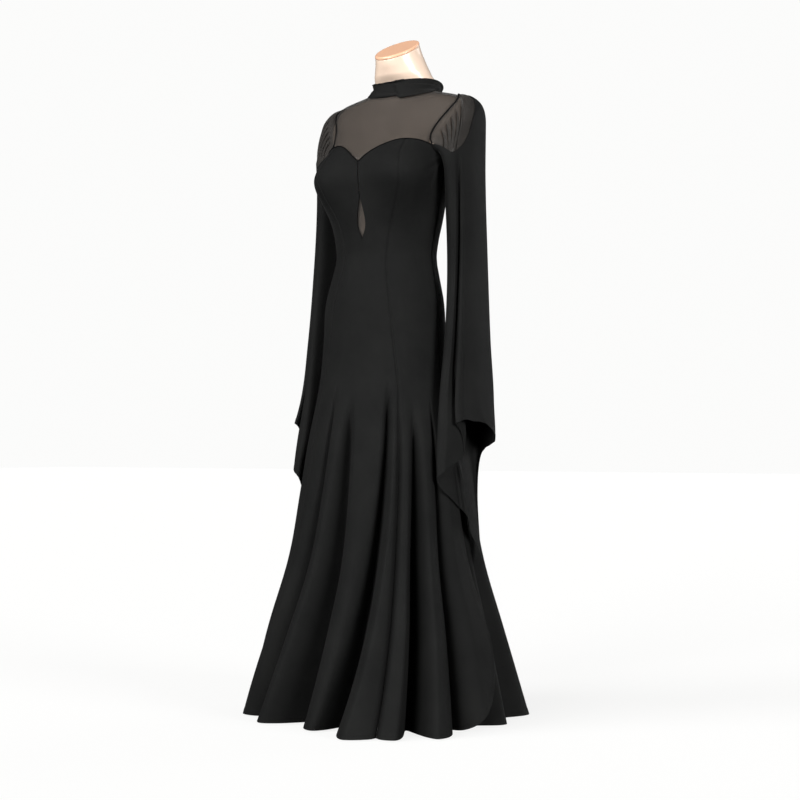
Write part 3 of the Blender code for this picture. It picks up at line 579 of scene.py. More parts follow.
BACK_FOLDS = [
    (139.0, 134.0, -26, True), (150.0, 146.0, 28, False), (158.0, 157.0, -32, False),
    (168.0, 169.0, 32, False), (180.0, 180.0, -20, True),
]
# Creases along the deepest valleys: hip and hem angles, the height at which the crease starts, how deep
# it cuts at the hem and how far it reaches to either side, in millimetres.
CREASES = [
    (-17.0, -49.0, 0.74, 22, 9), (0.0, -22.0, 0.705, 44, 22), (32.0, 5.0, 0.742, 42, 14),
    (53.0, 44.0, 0.68, 36, 15), (70.0, 65.0, 0.70, 26, 8),
]
CREASE_START, CREASE_QUICK = 0.14, 0.38  # in the first 0.14 of its fall it grows by 0.38 of its depth
CREASE_NARROW = 0.35  # its width at the start, as a share
# The bodice's top edge: a heart-shaped front and a level back.
HEART_NOTCH_Z, HEART_PEAK_Z, HEART_PEAK_ANGLE = 1.2220, 1.2715, 36.0
HEART_FALL, HEART_FALL_ANGLE = 0.021, 38.0
BACK_EDGE_Z = 1.250
# The armhole, an oval on the figure that is scooped out low down: its middle, half height, reach to the
# front and back in degrees, and how much of the scoop each has.
ARMHOLE_Z, ARMHOLE_HALF_HEIGHT = 1.310, 0.0745
ARMHOLE_FRONT, ARMHOLE_BACK = 29.0, 22.0
ARMHOLE_FRONT_SCOOP, ARMHOLE_BACK_SCOOP = 0.30, 0.10
SEAM_GAP = 0.00003  # clear air between two edges that are sewn together
HEM_Z, FOLD_TOP_Z, WAIST_Z, KNEE_Z, SLIT_TOP_Z = 0.002, 0.715, 1.02, 0.500, 0.45
FOLD_GROWTH, FOLD_SWING = 1.25, 2.0
PETAL_FROM, PETAL_WIDTH, PETAL_HEIGHT = 64.0, 26.0, 0.25  # the rounded corner at the open side seam


def seam_angle(hip_angle, z):
    """The angle at height z of a line that starts at hip_angle: the share of the way between two seams
    stays the same while the seams move."""
    front, back = np.moveaxis(smooth_table(PRINCESS, z), -1, 0)
    turn = np.abs(hip_angle)
    to_front = turn / HIP_FRONT_SEAM * front
    to_side = front + (turn - HIP_FRONT_SEAM) / (SIDE_SEAM - HIP_FRONT_SEAM) * (SIDE_SEAM - front)
    to_back = SIDE_SEAM + (turn - SIDE_SEAM) / (HIP_BACK_SEAM - SIDE_SEAM) * (back - SIDE_SEAM)
    to_middle = back + (turn - HIP_BACK_SEAM) / (180 - HIP_BACK_SEAM) * (180 - back)
    places = [turn <= HIP_FRONT_SEAM, turn <= SIDE_SEAM, turn <= HIP_BACK_SEAM]
    return np.sign(hip_angle) * np.select(places, [to_front, to_side, to_back], to_middle)


def armhole_place(turn):
    """Angle and height on the armhole. turn goes from 0 at its foot through 90 in front and 180 at the
    top."""
    turn = np.radians(np.asarray(turn, float))
    in_front = np.sin(turn) > 0
    reach = np.where(in_front, ARMHOLE_FRONT, ARMHOLE_BACK)
    scoop = np.where(in_front, ARMHOLE_FRONT_SCOOP, ARMHOLE_BACK_SCOOP)
    angle = SIDE_SEAM - reach * np.sin(turn) * (1 + scoop * np.cos(turn))
    return angle, ARMHOLE_Z - ARMHOLE_HALF_HEIGHT * np.cos(turn)


def heart_edge(angle):
    """The heart-shaped top edge of the bodice's front: a quarter of a sine up, then a cosine down."""
    angle = np.abs(angle)
    rise = np.sin(np.clip(angle / HEART_PEAK_ANGLE, 0, 1) * math.pi / 2)
    fall = 1 - np.cos(np.clip((angle - HEART_PEAK_ANGLE) / HEART_FALL_ANGLE, 0, 2) * math.pi / 2)
    return HEART_NOTCH_Z + (HEART_PEAK_Z - HEART_NOTCH_Z) * rise - fall * HEART_FALL


def top_edge(angle):
    """Height of the bodice's top edge: the heart in front, the armhole's foot at the side, and the level
    back."""
    angle = np.abs(angle)
    free = np.where(angle < SIDE_SEAM, heart_edge(angle), BACK_EDGE_Z)
    angles, heights = armhole_place(np.linspace(-70, 70, 141))
    foot = np.interp(angle, angles[::-1], heights[::-1])
    return np.where(np.abs(angle - SIDE_SEAM) < 20, np.minimum(free, foot), free)


def fallen_below(top, z):
    """0 at the top and above it, 1 on the floor."""
    return np.clip((top - z) / top, 0, 1)


def petal_hem(hem_angle):
    """Height of a side front gore's hem: a quarter ellipse rounds its corner at the open side seam."""
    across = np.clip((np.abs(hem_angle) - PETAL_FROM) / PETAL_WIDTH, 0, 0.999)
    return HEM_Z + PETAL_HEIGHT * (1 - np.sqrt(1 - across**2))


def fold_line(folds, along):
    """Hip angle, hem angle and stand-out at places along a gore, counted in rows of its table. Between
    two rows the stand-out runs along half a cosine wave; next to a crease along a quarter of a sine."""
    table = np.array([row[:3] for row in folds], float)
    crease = np.array([row[3] for row in folds])
    low = np.clip(np.floor(along).astype(int), 0, len(folds) - 2)
    share = along - low
    from_crease, to_crease = crease[low], crease[low + 1]
    cases = [from_crease & to_crease, from_crease, to_crease]
    waves = [share, np.sin(np.pi / 2 * share), 1 - np.cos(np.pi / 2 * share)]
    wave = np.select(cases, waves, (1 - np.cos(np.pi * share)) / 2)
    line = table[low] + (table[low + 1] - table[low]) * share[:, None]
    return line[:, 0], line[:, 1], table[low, 2] + (table[low + 1, 2] - table[low, 2]) * wave


print("heart edge from", HEART_NOTCH_Z, "to", HEART_PEAK_Z, "m high")

# %% [markdown]
# Real cloth shows where it is sewn. Along each seam the two edges turn inwards, which leaves a fine
# groove, and the thread draws the cloth into small puckers. The hem is turned up and makes a faint
# ridge, and elastic inside the bodice's top edge thickens it. Under the arm the stretch cloth is drawn
# into soft tucks. These are all small heights added to the smooth surface: bell curves of the distance
# from a line.

# %% Small relief
SEAM_DIP, SEAM_REACH = 0.0022, 0.0028
SEAM_SKIRT_DIP = 2.6  # in the skirt, where the cloth hangs in from both sides, it is this much deeper again
PUCKER, PUCKER_LENGTH = 0.00022, 0.0085
HEM_DEPTH, HEM_RISE, EDGE_SOFT = 0.012, 0.0006, 0.0025
PETAL_LIFT = 0.012  # how far the rounded corner of a side front gore stands off the gore behind it
ELASTIC_DEPTH, ELASTIC_RISE = 0.0060, 0.0007
FLAT_RADIUS = 0.125  # turns degrees into metres where lines are drawn on the figure
HEM_ROWS = (0, 0.0015, 0.004, 0.008, 0.0115, 0.0135, 0.017)  # metres above the hem
BELOW_KNEE = 0.4985
TUCKS = {  # each from one angle and height to another, how far it reaches to its sides and how far it rises
    "side_front": [
        (83, 1.238, 56, 1.205, 0.0045, 0.0022),
        (85, 1.230, 62, 1.182, 0.0045, 0.0016),
        (80, 1.225, 70, 1.150, 0.0055, 0.0016),
    ],
    "front": [(38, 1.262, 26, 1.225, 0.006, 0.0009)],
}


def soft_lines(angle, z, lines):
    """The added height of soft ridges and troughs: across each line it falls off as a bell curve, and
    along it it fades to the ends."""
    total = np.zeros(np.broadcast(angle, z).shape)
    for start_angle, start_z, end_angle, end_z, reach, rise in lines:
        start = np.array((math.radians(start_angle) * FLAT_RADIUS, start_z))
        way = np.array((math.radians(end_angle) * FLAT_RADIUS, end_z)) - start
        x, y = np.radians(angle) * FLAT_RADIUS - start[0], z - start[1]
        share = np.clip((x * way[0] + y * way[1]) / (way @ way), -0.1, 1.1)
        away = np.hypot(x - share * way[0], y - share * way[1])
        fade = smoothstep((share + 0.1) / 0.35) * smoothstep((1.1 - share) / 0.45)
        total = total + rise * fade * bell(away, reach)
    return total


def gore_rows(foot, top):
    """Heights of a gore's rows, one column of them for each column of the grid: close together at the hem
    and at the top edge."""
    low = np.concatenate([HEM_ROWS, np.linspace(0.03, BELOW_KNEE, 28)])[:, None] / BELOW_KNEE
    middle = np.linspace(KNEE_Z, WAIST_Z, 30)[1:, None] + 0 * foot
    high = np.concatenate([np.linspace(0, 0.96, 44)[1:], [0.972, 0.981, 0.988, 0.994, 1.0]])[:, None]
    return np.concatenate([foot + low * (KNEE_Z - foot), middle, WAIST_Z + high * (top - WAIST_Z)])


def creases(angle, z, radius, table):
    """How far the cloth is drawn in by the creases: a bell curve across each one, which starts quickly,
    then widens and deepens as it falls."""
    total = np.zeros(angle.shape)
    way = fallen_below(FOLD_TOP_Z, z) ** FOLD_SWING
    for hip, hem, start, deep, reach in table:
        line = seam_angle(np.full(z.shape, hip), z) * (1 - way) + hem * way
        fallen = fallen_below(start, z)
        grown = CREASE_QUICK * smoothstep(fallen / CREASE_START) + (1 - CREASE_QUICK) * fallen
        wide = reach / 1000 * (CREASE_NARROW + (1 - CREASE_NARROW) * fallen)
        total = total + deep / 1000 * grown * bell(np.radians(angle - line) * radius, wide)
    return total


def gore_places(folds, steps):
    """Places along a gore: even steps from fold to fold, and a few more close to both seams."""
    count = len(folds) - 1
    near = np.array((0.03, 0.08, 0.15, 0.24))
    even = np.linspace(0, count, count * steps + 1)
    return np.unique(np.round(np.concatenate([even, near, count - near]), 5))


def gore_grid(folds, steps, round_corner=False, open_front=False, tucks=(), cut=()):
    """Angle, height and stand-out of a gore's points: the folds, less the creases and the seams' dips,
    plus the hem, the elastic and the tucks."""
    hip, hem, out = fold_line(folds, gore_places(folds, steps))
    foot = petal_hem(hem) if round_corner else np.full(len(hem), HEM_Z)
    z = gore_rows(foot, top_edge(seam_angle(hip, np.full(len(hip), 1.27))) - SEAM_GAP / 2)
    way = fallen_below(FOLD_TOP_Z, z)
    angle = seam_angle(hip[None, :], z) * (1 - way**FOLD_SWING) + hem[None, :] * way**FOLD_SWING
    push = out[None, :] / 1000 * way**FOLD_GROWTH
    if open_front:
        opened = fallen_below(SLIT_TOP_Z, z[:, 0])
        angle[:, 0] = SIDE_SEAM + (hem[0] - SIDE_SEAM) * smoothstep(opened * 1.25 - 0.25)
        push[:, 0] = out[0] / 1000 * opened**0.8
    radius = np.hypot(*np.moveaxis(figure(angle, z)[..., :2], -1, 0))
    half_gap = np.degrees(SEAM_GAP / 2 / radius)
    angle[:, 0] += half_gap[:, 0]
    angle[:, -1] -= half_gap[:, -1]
    push -= creases(angle, z, radius, cut)
    start, end = (np.radians(np.abs(angle - angle[:, [k]])) * radius for k in (0, -1))
    deeper = 1 + SEAM_SKIRT_DIP * smoothstep((FOLD_TOP_Z - z) / 0.15)
    for away in (start, end):
        ripple = PUCKER * np.sin(2 * np.pi * z / PUCKER_LENGTH) * bell(away - 0.003, 0.004)
        push -= SEAM_DIP * deeper * bell(away, SEAM_REACH * deeper**0.5) + ripple
    if round_corner:
        push += PETAL_LIFT * smoothstep((hem[None, :] - 58) / 26) * smoothstep((0.42 - z) / 0.30)
    push += HEM_RISE * (1 - smoothstep((z - foot - HEM_DEPTH) / EDGE_SOFT))
    push += ELASTIC_RISE * smoothstep((z - z[-1] + ELASTIC_DEPTH) / 0.001)
    return angle, z, push + soft_lines(angle, z, tucks)


print("relief ready")

# %% [markdown]
# The front gore is slit down its middle from the heart's point, and below the bust the slit is drawn
# apart into a narrow leaf, the keyhole. We work out the gore whole, part it into a left and a right
# half at the centre, and move each half's columns aside as far as the keyhole's edge asks. Below the
# slit the halves share their points.

# %% The front gore with its slit
KEYHOLE_FOOT_Z, KEYHOLE_TOP_Z, KEYHOLE_HALF_WIDTH = 1.054, 1.150, 0.0105
KEYHOLE_WIDEST = 0.36  # the share of its height, from the foot, at which it is widest
KEYHOLE_EASE = 0.032  # the cloth is drawn aside as far as this from the slit
SLIT_CLOSED = 0.0007  # half the gap where the edges meet
SLIT_ROLL, SLIT_ROLL_REACH = 0.0007, 0.0022
FRONT_STEPS, OTHER_STEPS = 22, 14  # columns from one fold to the next


def keyhole_half_width(z):
    """Half the gap between the slit's edges: a power of a sine from its foot to its widest place and
    back."""
    up = (z - KEYHOLE_FOOT_Z) / (KEYHOLE_TOP_Z - KEYHOLE_FOOT_Z)
    bulge = np.interp(up, (0, KEYHOLE_WIDEST, 1), (0, 1, 0))
    half = np.maximum(SLIT_CLOSED, KEYHOLE_HALF_WIDTH * np.sin(bulge * math.pi / 2) ** 1.3)
    return np.where(up <= 0, 0.0, half)


def half_of_front(angle, z, push, sign):
    """One half of the front gore, its columns drawn aside: an angle under the ease moves from half to
    ease."""
    width = smooth_table(SECTIONS, z)[..., 0]
    half = np.degrees(np.arcsin(keyhole_half_width(z) / width))
    ease = np.degrees(np.arcsin(KEYHOLE_EASE / width))
    away = np.abs(angle)
    moved = np.where(away < ease, half + away * (1 - half / ease), away)
    rolled = SLIT_ROLL * bell(np.radians(moved - half) * width, SLIT_ROLL_REACH) * (half > 0)
    moved = np.where(z > KEYHOLE_FOOT_Z - 0.001, moved * sign, angle)
    return figure(moved, z, push + rolled)


grid = gore_grid(FRONT_CENTRE_FOLDS, FRONT_STEPS, tucks=TUCKS["front"], cut=CREASES)
hip = fold_line(FRONT_CENTRE_FOLDS, gore_places(FRONT_CENTRE_FOLDS, FRONT_STEPS))[0]
middle = int(np.argmin(np.abs(hip)))
right = half_of_front(*(part[:, : middle + 1] for part in grid), -1)
left = half_of_front(*(part[:, middle:] for part in grid), 1)
lay_cloth("gore_front_centre", np.concatenate([right, left], axis=1), CREPE, "front_centre", slit=middle)

# %% [markdown]
# The other six gores are three pairs. The side front gore's lower corner is rounded off like a petal
# over the open side seam. We make the left one of each pair and turn the angles' sign for the right
# one; only the side fronts differ, because all the front folds swing to the wearer's right.

# %% The six other gores
for name, folds, side in (
    ("side_front_left", SIDE_FRONT_LEFT_FOLDS, 1),
    ("side_front_right", SIDE_FRONT_RIGHT_FOLDS, -1),
    ("side_back_left", SIDE_BACK_FOLDS, 1),
    ("side_back_right", SIDE_BACK_FOLDS, -1),
    ("back_left", BACK_FOLDS, 1),
    ("back_right", BACK_FOLDS, -1),
):
    in_front, cut = "side_front" in name, CREASES if name == "side_front_left" else ()
    tucks = TUCKS["side_front"] if in_front else ()
    steps = FRONT_STEPS if cut else OTHER_STEPS
    angle, z, push = gore_grid(folds, steps, in_front, "side_back" in name, tucks, cut)
    lay_cloth("gore_" + name, figure(angle * side, z, push), CREPE, name)

# %% [markdown]
# A piece of the fine mesh closes the keyhole from behind. It is sewn on flat and stretched, so it is a
# small patch of the figure's own surface, just under the crepe.

# %% The keyhole's inset
PATCH_EDGE, PATCH_ANGLE = 0.008, 9.5  # how far it reaches past the keyhole, and to either side in degrees
PATCH_IN = 0.0021
patch_z = np.linspace(KEYHOLE_FOOT_Z - PATCH_EDGE, KEYHOLE_TOP_Z + PATCH_EDGE, 40)[:, None]
patch = figure(np.linspace(-PATCH_ANGLE, PATCH_ANGLE, 24)[None, :], patch_z, -PATCH_IN)
lay_cloth("keyhole_mesh", patch, MESH, "keyhole_inset")

# %% [markdown]
# ## The neck band
#
# The band is a bias strip folded double and wrapped round the neck, its left end lapped over the right.
# Bias cloth never lies quite smooth, so soft creases run round it, each a little slanted. It stands on
# the mesh yokes.

# %% The band
BAND_TOP_Z = 1.4285
BAND_FRONT_Z, BAND_SIDE_Z, BAND_BACK_Z = 1.388, 1.402, 1.400  # its lower edge
BAND_IN = 0.0009  # its face lies this far inside the dress's, so that it sits on the yokes' upper edges
BAND_LAP_ANGLE, BAND_LAP_DROP, BAND_LAP_RISE = 8.0, 0.008, 0.0006
BAND_FLARE = 0.0150  # it stands this far off the neck at its top
BAND_FAR_RISE = 0.006  # its lower edge is this much higher on the right side
BAND_NEAR_DROP = 0.008  # and its top this much lower on the left side
BAND_ROLL = 0.0016  # how far both edges are rolled in
BAND_CREASE = 0.0008  # how high the broad creases are; the finer ones are half as high


def band_edge(angle):
    """Height of the neck band's lower edge. It steps down where the left side laps over the right."""
    turn = np.radians(angle)
    ends = np.where(np.cos(turn) > 0, BAND_FRONT_Z, BAND_BACK_Z)
    level = ends + (BAND_SIDE_Z - ends) * np.sin(turn) ** 2
    past = angle - BAND_LAP_ANGLE
    left = smoothstep(past / 4.0) * (1 - smoothstep((past - 4) / 70.0))
    return level - BAND_LAP_DROP * left + BAND_FAR_RISE * smoothstep(-np.sin(turn) * 1.3)


def band_surface():
    """The band's ring: between its lower edge and its top, with creases as sine waves that drift with the
    angle, and both edges rolled in along a square curve."""
    angle = np.arange(0, 360, 1.5)[None, :]
    angle = np.where(angle > 180, angle - 360, angle)
    turn, low = np.radians(angle), band_edge(angle)
    share = np.concatenate([[0, 0.02, 0.05], np.linspace(0.10, 0.90, 20), [0.95, 0.98, 1.0]])[:, None]
    top = BAND_TOP_Z - BAND_NEAR_DROP * smoothstep(np.sin(turn) * 1.3)
    rise = BAND_CREASE * np.sin(2 * np.pi * (2.2 * share + 0.35 * np.sin(turn) + 0.1))
    rise += BAND_CREASE / 2 * np.sin(2 * np.pi * (3.7 * share + turn * 0.8))
    rolled = BAND_ROLL * (1 - np.clip(np.minimum(share, 1 - share) / 0.08, 0, 1)) ** 2
    lap = BAND_LAP_RISE * smoothstep((angle - BAND_LAP_ANGLE) / 2.0) * (1 - smoothstep((angle - 60) / 60.0))
    flare = BAND_FLARE * smoothstep(share * 1.15)
    return inside(angle, low + share * (top - low), BAND_IN + rolled - rise * 1.3 - lap - flare)


lay_cloth("band_cloth", band_surface(), CREPE, "neck_band", closed=True)

# %% [markdown]
# ## The sheer yokes
#
# Above the heart-shaped edge the front and the back are closed by one layer of stretch mesh each. The
# mesh is pulled up to the neck and out to the shoulders, so faint drag lines fan out from the neck. The
# rows of the grid leave the armhole at its own heights and even out towards the middle.

# %% Yokes
SHEER_IN = 0.0034  # how far the mesh lies inside the crepe that laps over it
LAP = 0.005  # how far the crepe laps over it
YOKE_SIDE_GAPS = 0.6  # a yoke stops this many seam gaps short of the armhole
SHOULDER_ROWS = 8
YOKE_DRAGS = [
    (-34, 1.374, -66, 1.290, 0.006, 0.0016),
    (-28, 1.380, -50, 1.285, 0.005, -0.0010),
    (-48, 1.385, -76, 1.330, 0.005, 0.0010),
    (30, 1.376, 56, 1.300, 0.006, 0.0008),
    (44, 1.384, 70, 1.325, 0.005, 0.0008),
]


def yoke_surface(middle, way, low_edge, high_edge, drags=()):
    """A yoke from behind the bodice's edge to behind the neck band. middle is 0 in front and 180 behind,
    way is 1 along the armhole's front and -1 along its back. Rows blend from the armhole's heights to
    level ones with the fourth power of the way out."""
    turns = way * np.linspace(20, 90, 141)
    angle, z = armhole_place(turns)
    start = float(turns[np.argmax(z >= low_edge(angle) - LAP)])
    side_angle, side_z = armhole_place(np.linspace(start, way * 180, 64))
    shoulder = float(high_edge(np.array(SIDE_SEAM))) + LAP - side_z[-1]
    side_z = np.concatenate([side_z, side_z[-1] + shoulder * np.linspace(0.15, 1, SHOULDER_ROWS)])
    reach = np.concatenate([np.abs(side_angle - middle), np.full(SHOULDER_ROWS, SIDE_SEAM)])
    rise = (side_z - side_z[0]) / (side_z[-1] - side_z[0])
    across = np.linspace(-1, 1, 121)
    low = low_edge(middle + across * reach[0]) - LAP
    high = high_edge(middle + across * reach[-1]) + LAP
    level = rise[:, None] * (high - low)[None, :] + low[None, :]
    level += (side_z - level[:, 0])[:, None] * np.abs(across)[None, :] ** 4
    side = figure(middle + reach + 0.5, side_z) - figure(middle + reach - 0.5, side_z)
    reach = reach - SEAM_GAP * YOKE_SIDE_GAPS / np.linalg.norm(side, axis=-1)
    angle = middle + across[None, :] * reach[:, None]
    return inside(angle, level, SHEER_IN - soft_lines(angle, level, drags))


def back_edge(angle):
    """The level top edge of the bodice's back."""
    return np.full(np.shape(angle), BACK_EDGE_Z)


for name, points in (
    ("yoke_front", yoke_surface(0, 1, heart_edge, band_edge, YOKE_DRAGS)),
    ("yoke_back", yoke_surface(180, -1, back_edge, band_edge)),
):
    lay_cloth(name + "_mesh", points, MESH, name)

# %% [markdown]
# ## Bindings
#
# A narrow black binding finishes the heart-shaped edge, and a thicker one closes each armhole seam.
# Both are folded round a cord, so each is a round line of cloth. Its centre line is known, and so is
# the figure's normal there: a small circle in the plane across the line, swept along it, gives the
# surface. The tape is painted darker and duller than the crepe. That extra darkness is painted shade,
# so each binding draws a dark shadow line along its edge.

# %% Corded bindings
SEAM_OUT = 0.0019  # under the arm the sleeve's seam stands this far outside the gores
SEAM_IN = 0.0030  # and in the yoke it lies this far in, level with the sheer cloth
HEART_CORD, ARMHOLE_CORD = 0.0014, 0.0020  # radii
CORD_SIDES = 10
# The tape's colours are darker than the crepe's. This is painted shade, so the bindings show as dark shadow
# lines.
TAPE_BLACK, TAPE_DARK, TAPE_PALE = (0.004,) * 3, (0.003,) * 3, (0.006,) * 3
tape = painted("black_binding", TAPE_BLACK, 0.75, TAPE_DARK, TAPE_PALE, 40.0, Specular_IOR_Level=0.05)[0]


def lay_binding(name, line, outwards, radius, closed):
    """One binding: line + radius * (cos(t) * outwards + sin(t) * across), with across at right angles to
    the line. A closed one joins its last ring to its first."""
    steps = np.roll(line, -1, axis=0) - np.roll(line, 1, axis=0) if closed else np.gradient(line, axis=0)
    along = unit(steps)
    outwards = unit(outwards - along * np.sum(outwards * along, axis=-1, keepdims=True))
    across = np.cross(along, outwards)
    turn = np.linspace(0, 2 * np.pi, CORD_SIDES, endpoint=False)[None, :, None]
    rings = line[:, None] + radius * (np.cos(turn) * outwards[:, None] + np.sin(turn) * across[:, None])
    if closed:
        mesh = mend(grid_mesh(name, np.concatenate([rings, rings[:1]]), closed=True), weld=True)
        place_piece(name, mesh, tape)
    else:
        lay_tube(name, rings, tape)
    print(name, "radius", radius * 1000, "mm")


def armhole_seam(turn):
    """The line on which sleeve and body are joined: outside the gores under the arm, level with the mesh
    above."""
    angle, seam_z = armhole_place(turn)
    under_arm = smoothstep((np.cos(np.radians(turn)) - 0.35) / 0.30)
    return figure(angle, seam_z, SEAM_OUT * under_arm - SEAM_IN * (1 - under_arm))


edge_angle = np.linspace(-67, 67, 201)
edge_line = figure(edge_angle, heart_edge(edge_angle) + 0.0004, 0.0010)
edge_way = figure(edge_angle, 1.25, 1.0) - figure(edge_angle, 1.25)
lay_binding("heart_binding", edge_line, edge_way, HEART_CORD, closed=False)
seam_turn = np.arange(0, 360, 2.0)
seam_place = armhole_place(seam_turn)
seam_way = figure(*seam_place, 1.0) - figure(*seam_place)
MIRRORS = {"left": np.array((1, 1, 1)), "right": np.array((-1, 1, 1))}
seam_line = armhole_seam(seam_turn)
for side, mirror in MIRRORS.items():
    lay_binding(f"armhole_binding_{side}", seam_line * mirror, seam_way * mirror, ARMHOLE_CORD, closed=True)

# %% [markdown]
# ## The sleeves
#
# Each sleeve is a wide tube cut on the flare. It is sewn into the armhole, falls over the shoulder in a
# round, and its hem runs from a short front to a long point behind. A deep lengthwise fold in front
# laps the outer layer over the inner one. A table of level sections gives the tube, a second one the
# hem, a third the fold. A turn round the tube is 0 where it faces the body, 90 at the front, 180
# outside and 270 at the back.

# %% The sleeve's tables
# Level sections: height, middle in X and Y, half width, depth in front of and behind the middle, how
# deep the front fold is, and how far the front and back edges bend in round the figure.
SLEEVE_SECTIONS = np.array([
    (0.340, 0.2500, 0.020, 0.0240, 0.070, 0.062, 1.00, 0.043),
    (0.420, 0.2390, 0.010, 0.0270, 0.080, 0.072, 1.00, 0.041),
    (0.500, 0.2290, 0.006, 0.0290, 0.088, 0.078, 1.00, 0.040),
    (0.560, 0.2230, 0.010, 0.0330, 0.090, 0.080, 1.00, 0.038),
    (0.612, 0.2183, 0.022, 0.0392, 0.092, 0.085, 1.00, 0.036),
    (0.700, 0.2000, 0.044, 0.0340, 0.099, 0.099, 1.00, 0.022),
    (0.836, 0.1880, 0.052, 0.0310, 0.085, 0.085, 0.95, 0.008),
    (1.050, 0.1780, 0.058, 0.0315, 0.070, 0.070, 0.85, 0.000),
    (1.160, 0.1762, 0.059, 0.0315, 0.072, 0.065, 0.55, 0.000),
    (1.230, 0.1765, 0.060, 0.0310, 0.077, 0.062, 0.12, 0.000),
    (1.250, 0.1772, 0.060, 0.0310, 0.077, 0.061, 0.00, 0.000),
    (1.385, 0.1800, 0.062, 0.0300, 0.060, 0.058, 0.00, 0.000),
])
# The hem: turn and height.
SLEEVE_HEM = np.array([
    (0, 0.404), (15, 0.458), (28, 0.479), (48, 0.500), (78, 0.526), (92, 0.534), (108, 0.545),
    (113, 0.554), (118, 0.567), (123, 0.582), (128, 0.636), (134, 0.651), (150, 0.652),
    (168, 0.648), (186, 0.632), (205, 0.612), (225, 0.605), (236, 0.600), (252, 0.591),
    (262, 0.572), (268, 0.530), (275, 0.478), (290, 0.400), (305, 0.356), (320, 0.343),
    (340, 0.370), (360, 0.404),
])
# The front fold: the share of the way through it, how far the cloth then lies along and out of the
# plain tube, and how much farther along it lies near the hem, where the inner layer reaches under the
# outer one, in millimetres.
FRONT_FOLD_FROM, FRONT_FOLD_TO = 108.0, 138.0
FRONT_FOLD = np.array([
    (0.00, 0.0, 0.0, 0.0), (0.16, 0.0, -5.0, 7.0), (0.32, 4.0, -14.0, 20.0),
    (0.48, 4.5, -17.5, 28.0), (0.62, 0.5, -12.5, 15.0), (0.76, -7.5, -3.0, -5.0),
    (0.88, -6.0, 2.0, -4.0), (1.00, 0.0, 0.0, 0.0),
])
# The roundness of the shoulder: turn, and how far the sleeve falls from the armhole before it hangs
# straight.
HEAD_DROP = np.array([
    (0, 0.045), (30, 0.055), (60, 0.070), (110, 0.078), (147, 0.070), (180, 0.045), (205, 0.032),
    (250, 0.035), (300, 0.040), (360, 0.045),
])
# How far the tube is turned so that its cloth falls straight from the armhole, and the heights over
# which this comes in.
HEAD_SHIFT = np.array([
    (0, 18.0), (18, 20.0), (36, 24.0), (50, 25.0), (64, 21.0), (79, 13.0), (94, 4.0), (108, 0.0),
    (282, 0.0), (300, 5.0), (320, 10.0), (340, 14.0), (360, 18.0),
])
SHIFT_FROM_Z, SHIFT_TO_Z = 0.95, 1.20
HEAD_SLANT = 0.014  # there the tube is fuller at its inner front than at its outer front
# The lower edge of the half moon let into the sleeve's head: turn and height.
INSET_EDGE = np.array([
    (50, 1.2605), (64, 1.2515), (79, 1.2440), (94, 1.2415), (108, 1.2440), (123, 1.2515),
    (138, 1.2640), (152, 1.2860), (165, 1.3240), (178, 1.3640), (191, 1.3815),
])
# A small pleat in the inner layer: its turn, its width in degrees, its size beside the front fold's,
# and how it comes in downwards.
PLEAT_TURN, PLEAT_WIDTH, PLEAT_SCALE = 11.0, 18.0, 0.55
PLEAT_TOP_Z, PLEAT_FADE = 0.585, 0.06
HEM_STEPS = (0, 0.0015, 0.004, 0.008, 0.011, 0.013)  # metres above the hem
BELOW_HEAD = 0.62


def sleeve_place(turn, z, along=0.0, out=0.0):
    """A point of the left sleeve: an oval section at height z, moved along and out of itself by the
    folds, and drawn in to the armhole's seam along a quarter circle near the head."""
    turn, z = np.broadcast_arrays(np.asarray(turn, float), np.asarray(z, float))
    sections = np.moveaxis(smooth_table(SLEEVE_SECTIONS, z), -1, 0)
    middle_x, middle_y, half_width, front, back, fold, bend = sections
    near_head = smoothstep((z - SHIFT_FROM_Z) / (SHIFT_TO_Z - SHIFT_FROM_Z))
    t = np.radians(turn + smooth_table(HEAD_SHIFT, turn)[..., 0] * near_head)
    depth = np.where(np.sin(t) > 0, front + HEAD_SLANT * near_head * np.cos(t), back)
    tangent = unit(np.stack([half_width * np.sin(t), -depth * np.cos(t)], axis=-1))
    normal = np.stack([tangent[..., 1], -tangent[..., 0]], axis=-1)
    x = middle_x - half_width * np.cos(t) - bend * np.sin(t) ** 2
    place = np.stack([x, middle_y - depth * np.sin(t)], axis=-1)
    along, out = (np.asarray(v, float)[..., None] * fold[..., None] / 1000 for v in (along, out))
    place = place + tangent * along + normal * out
    seam = armhole_seam(turn)
    fallen = np.clip((seam[..., 2] - z) / smooth_table(HEAD_DROP, turn)[..., 0], 0, 1)
    way = place - seam[..., :2]
    grown = np.maximum(np.sqrt(1 - (1 - fallen) ** 2), SEAM_GAP / np.linalg.norm(way, axis=-1))
    return np.concatenate([seam[..., :2] + way * grown[..., None], z[..., None]], axis=-1)


def sleeve_columns():
    """Places round the tube, with how far the front fold moves the cloth along and out there, and farther
    along near the hem. Columns are close together in the pleat and in the fold."""
    inner = np.concatenate([np.arange(0, 24, 0.6), np.arange(24, FRONT_FOLD_FROM, 2.0)])
    outer = np.concatenate([np.arange(FRONT_FOLD_TO + 2, 338, 2.0), np.arange(338, 360, 1.0)])
    share = np.linspace(0, 1, 41)
    turn = np.concatenate([inner, FRONT_FOLD_FROM + share * (FRONT_FOLD_TO - FRONT_FOLD_FROM), outer])
    flat = (np.zeros((len(part), 3)) for part in (inner, outer))
    fold = np.concatenate([next(flat), smooth_table(FRONT_FOLD, share), next(flat)])
    return turn, *fold.T


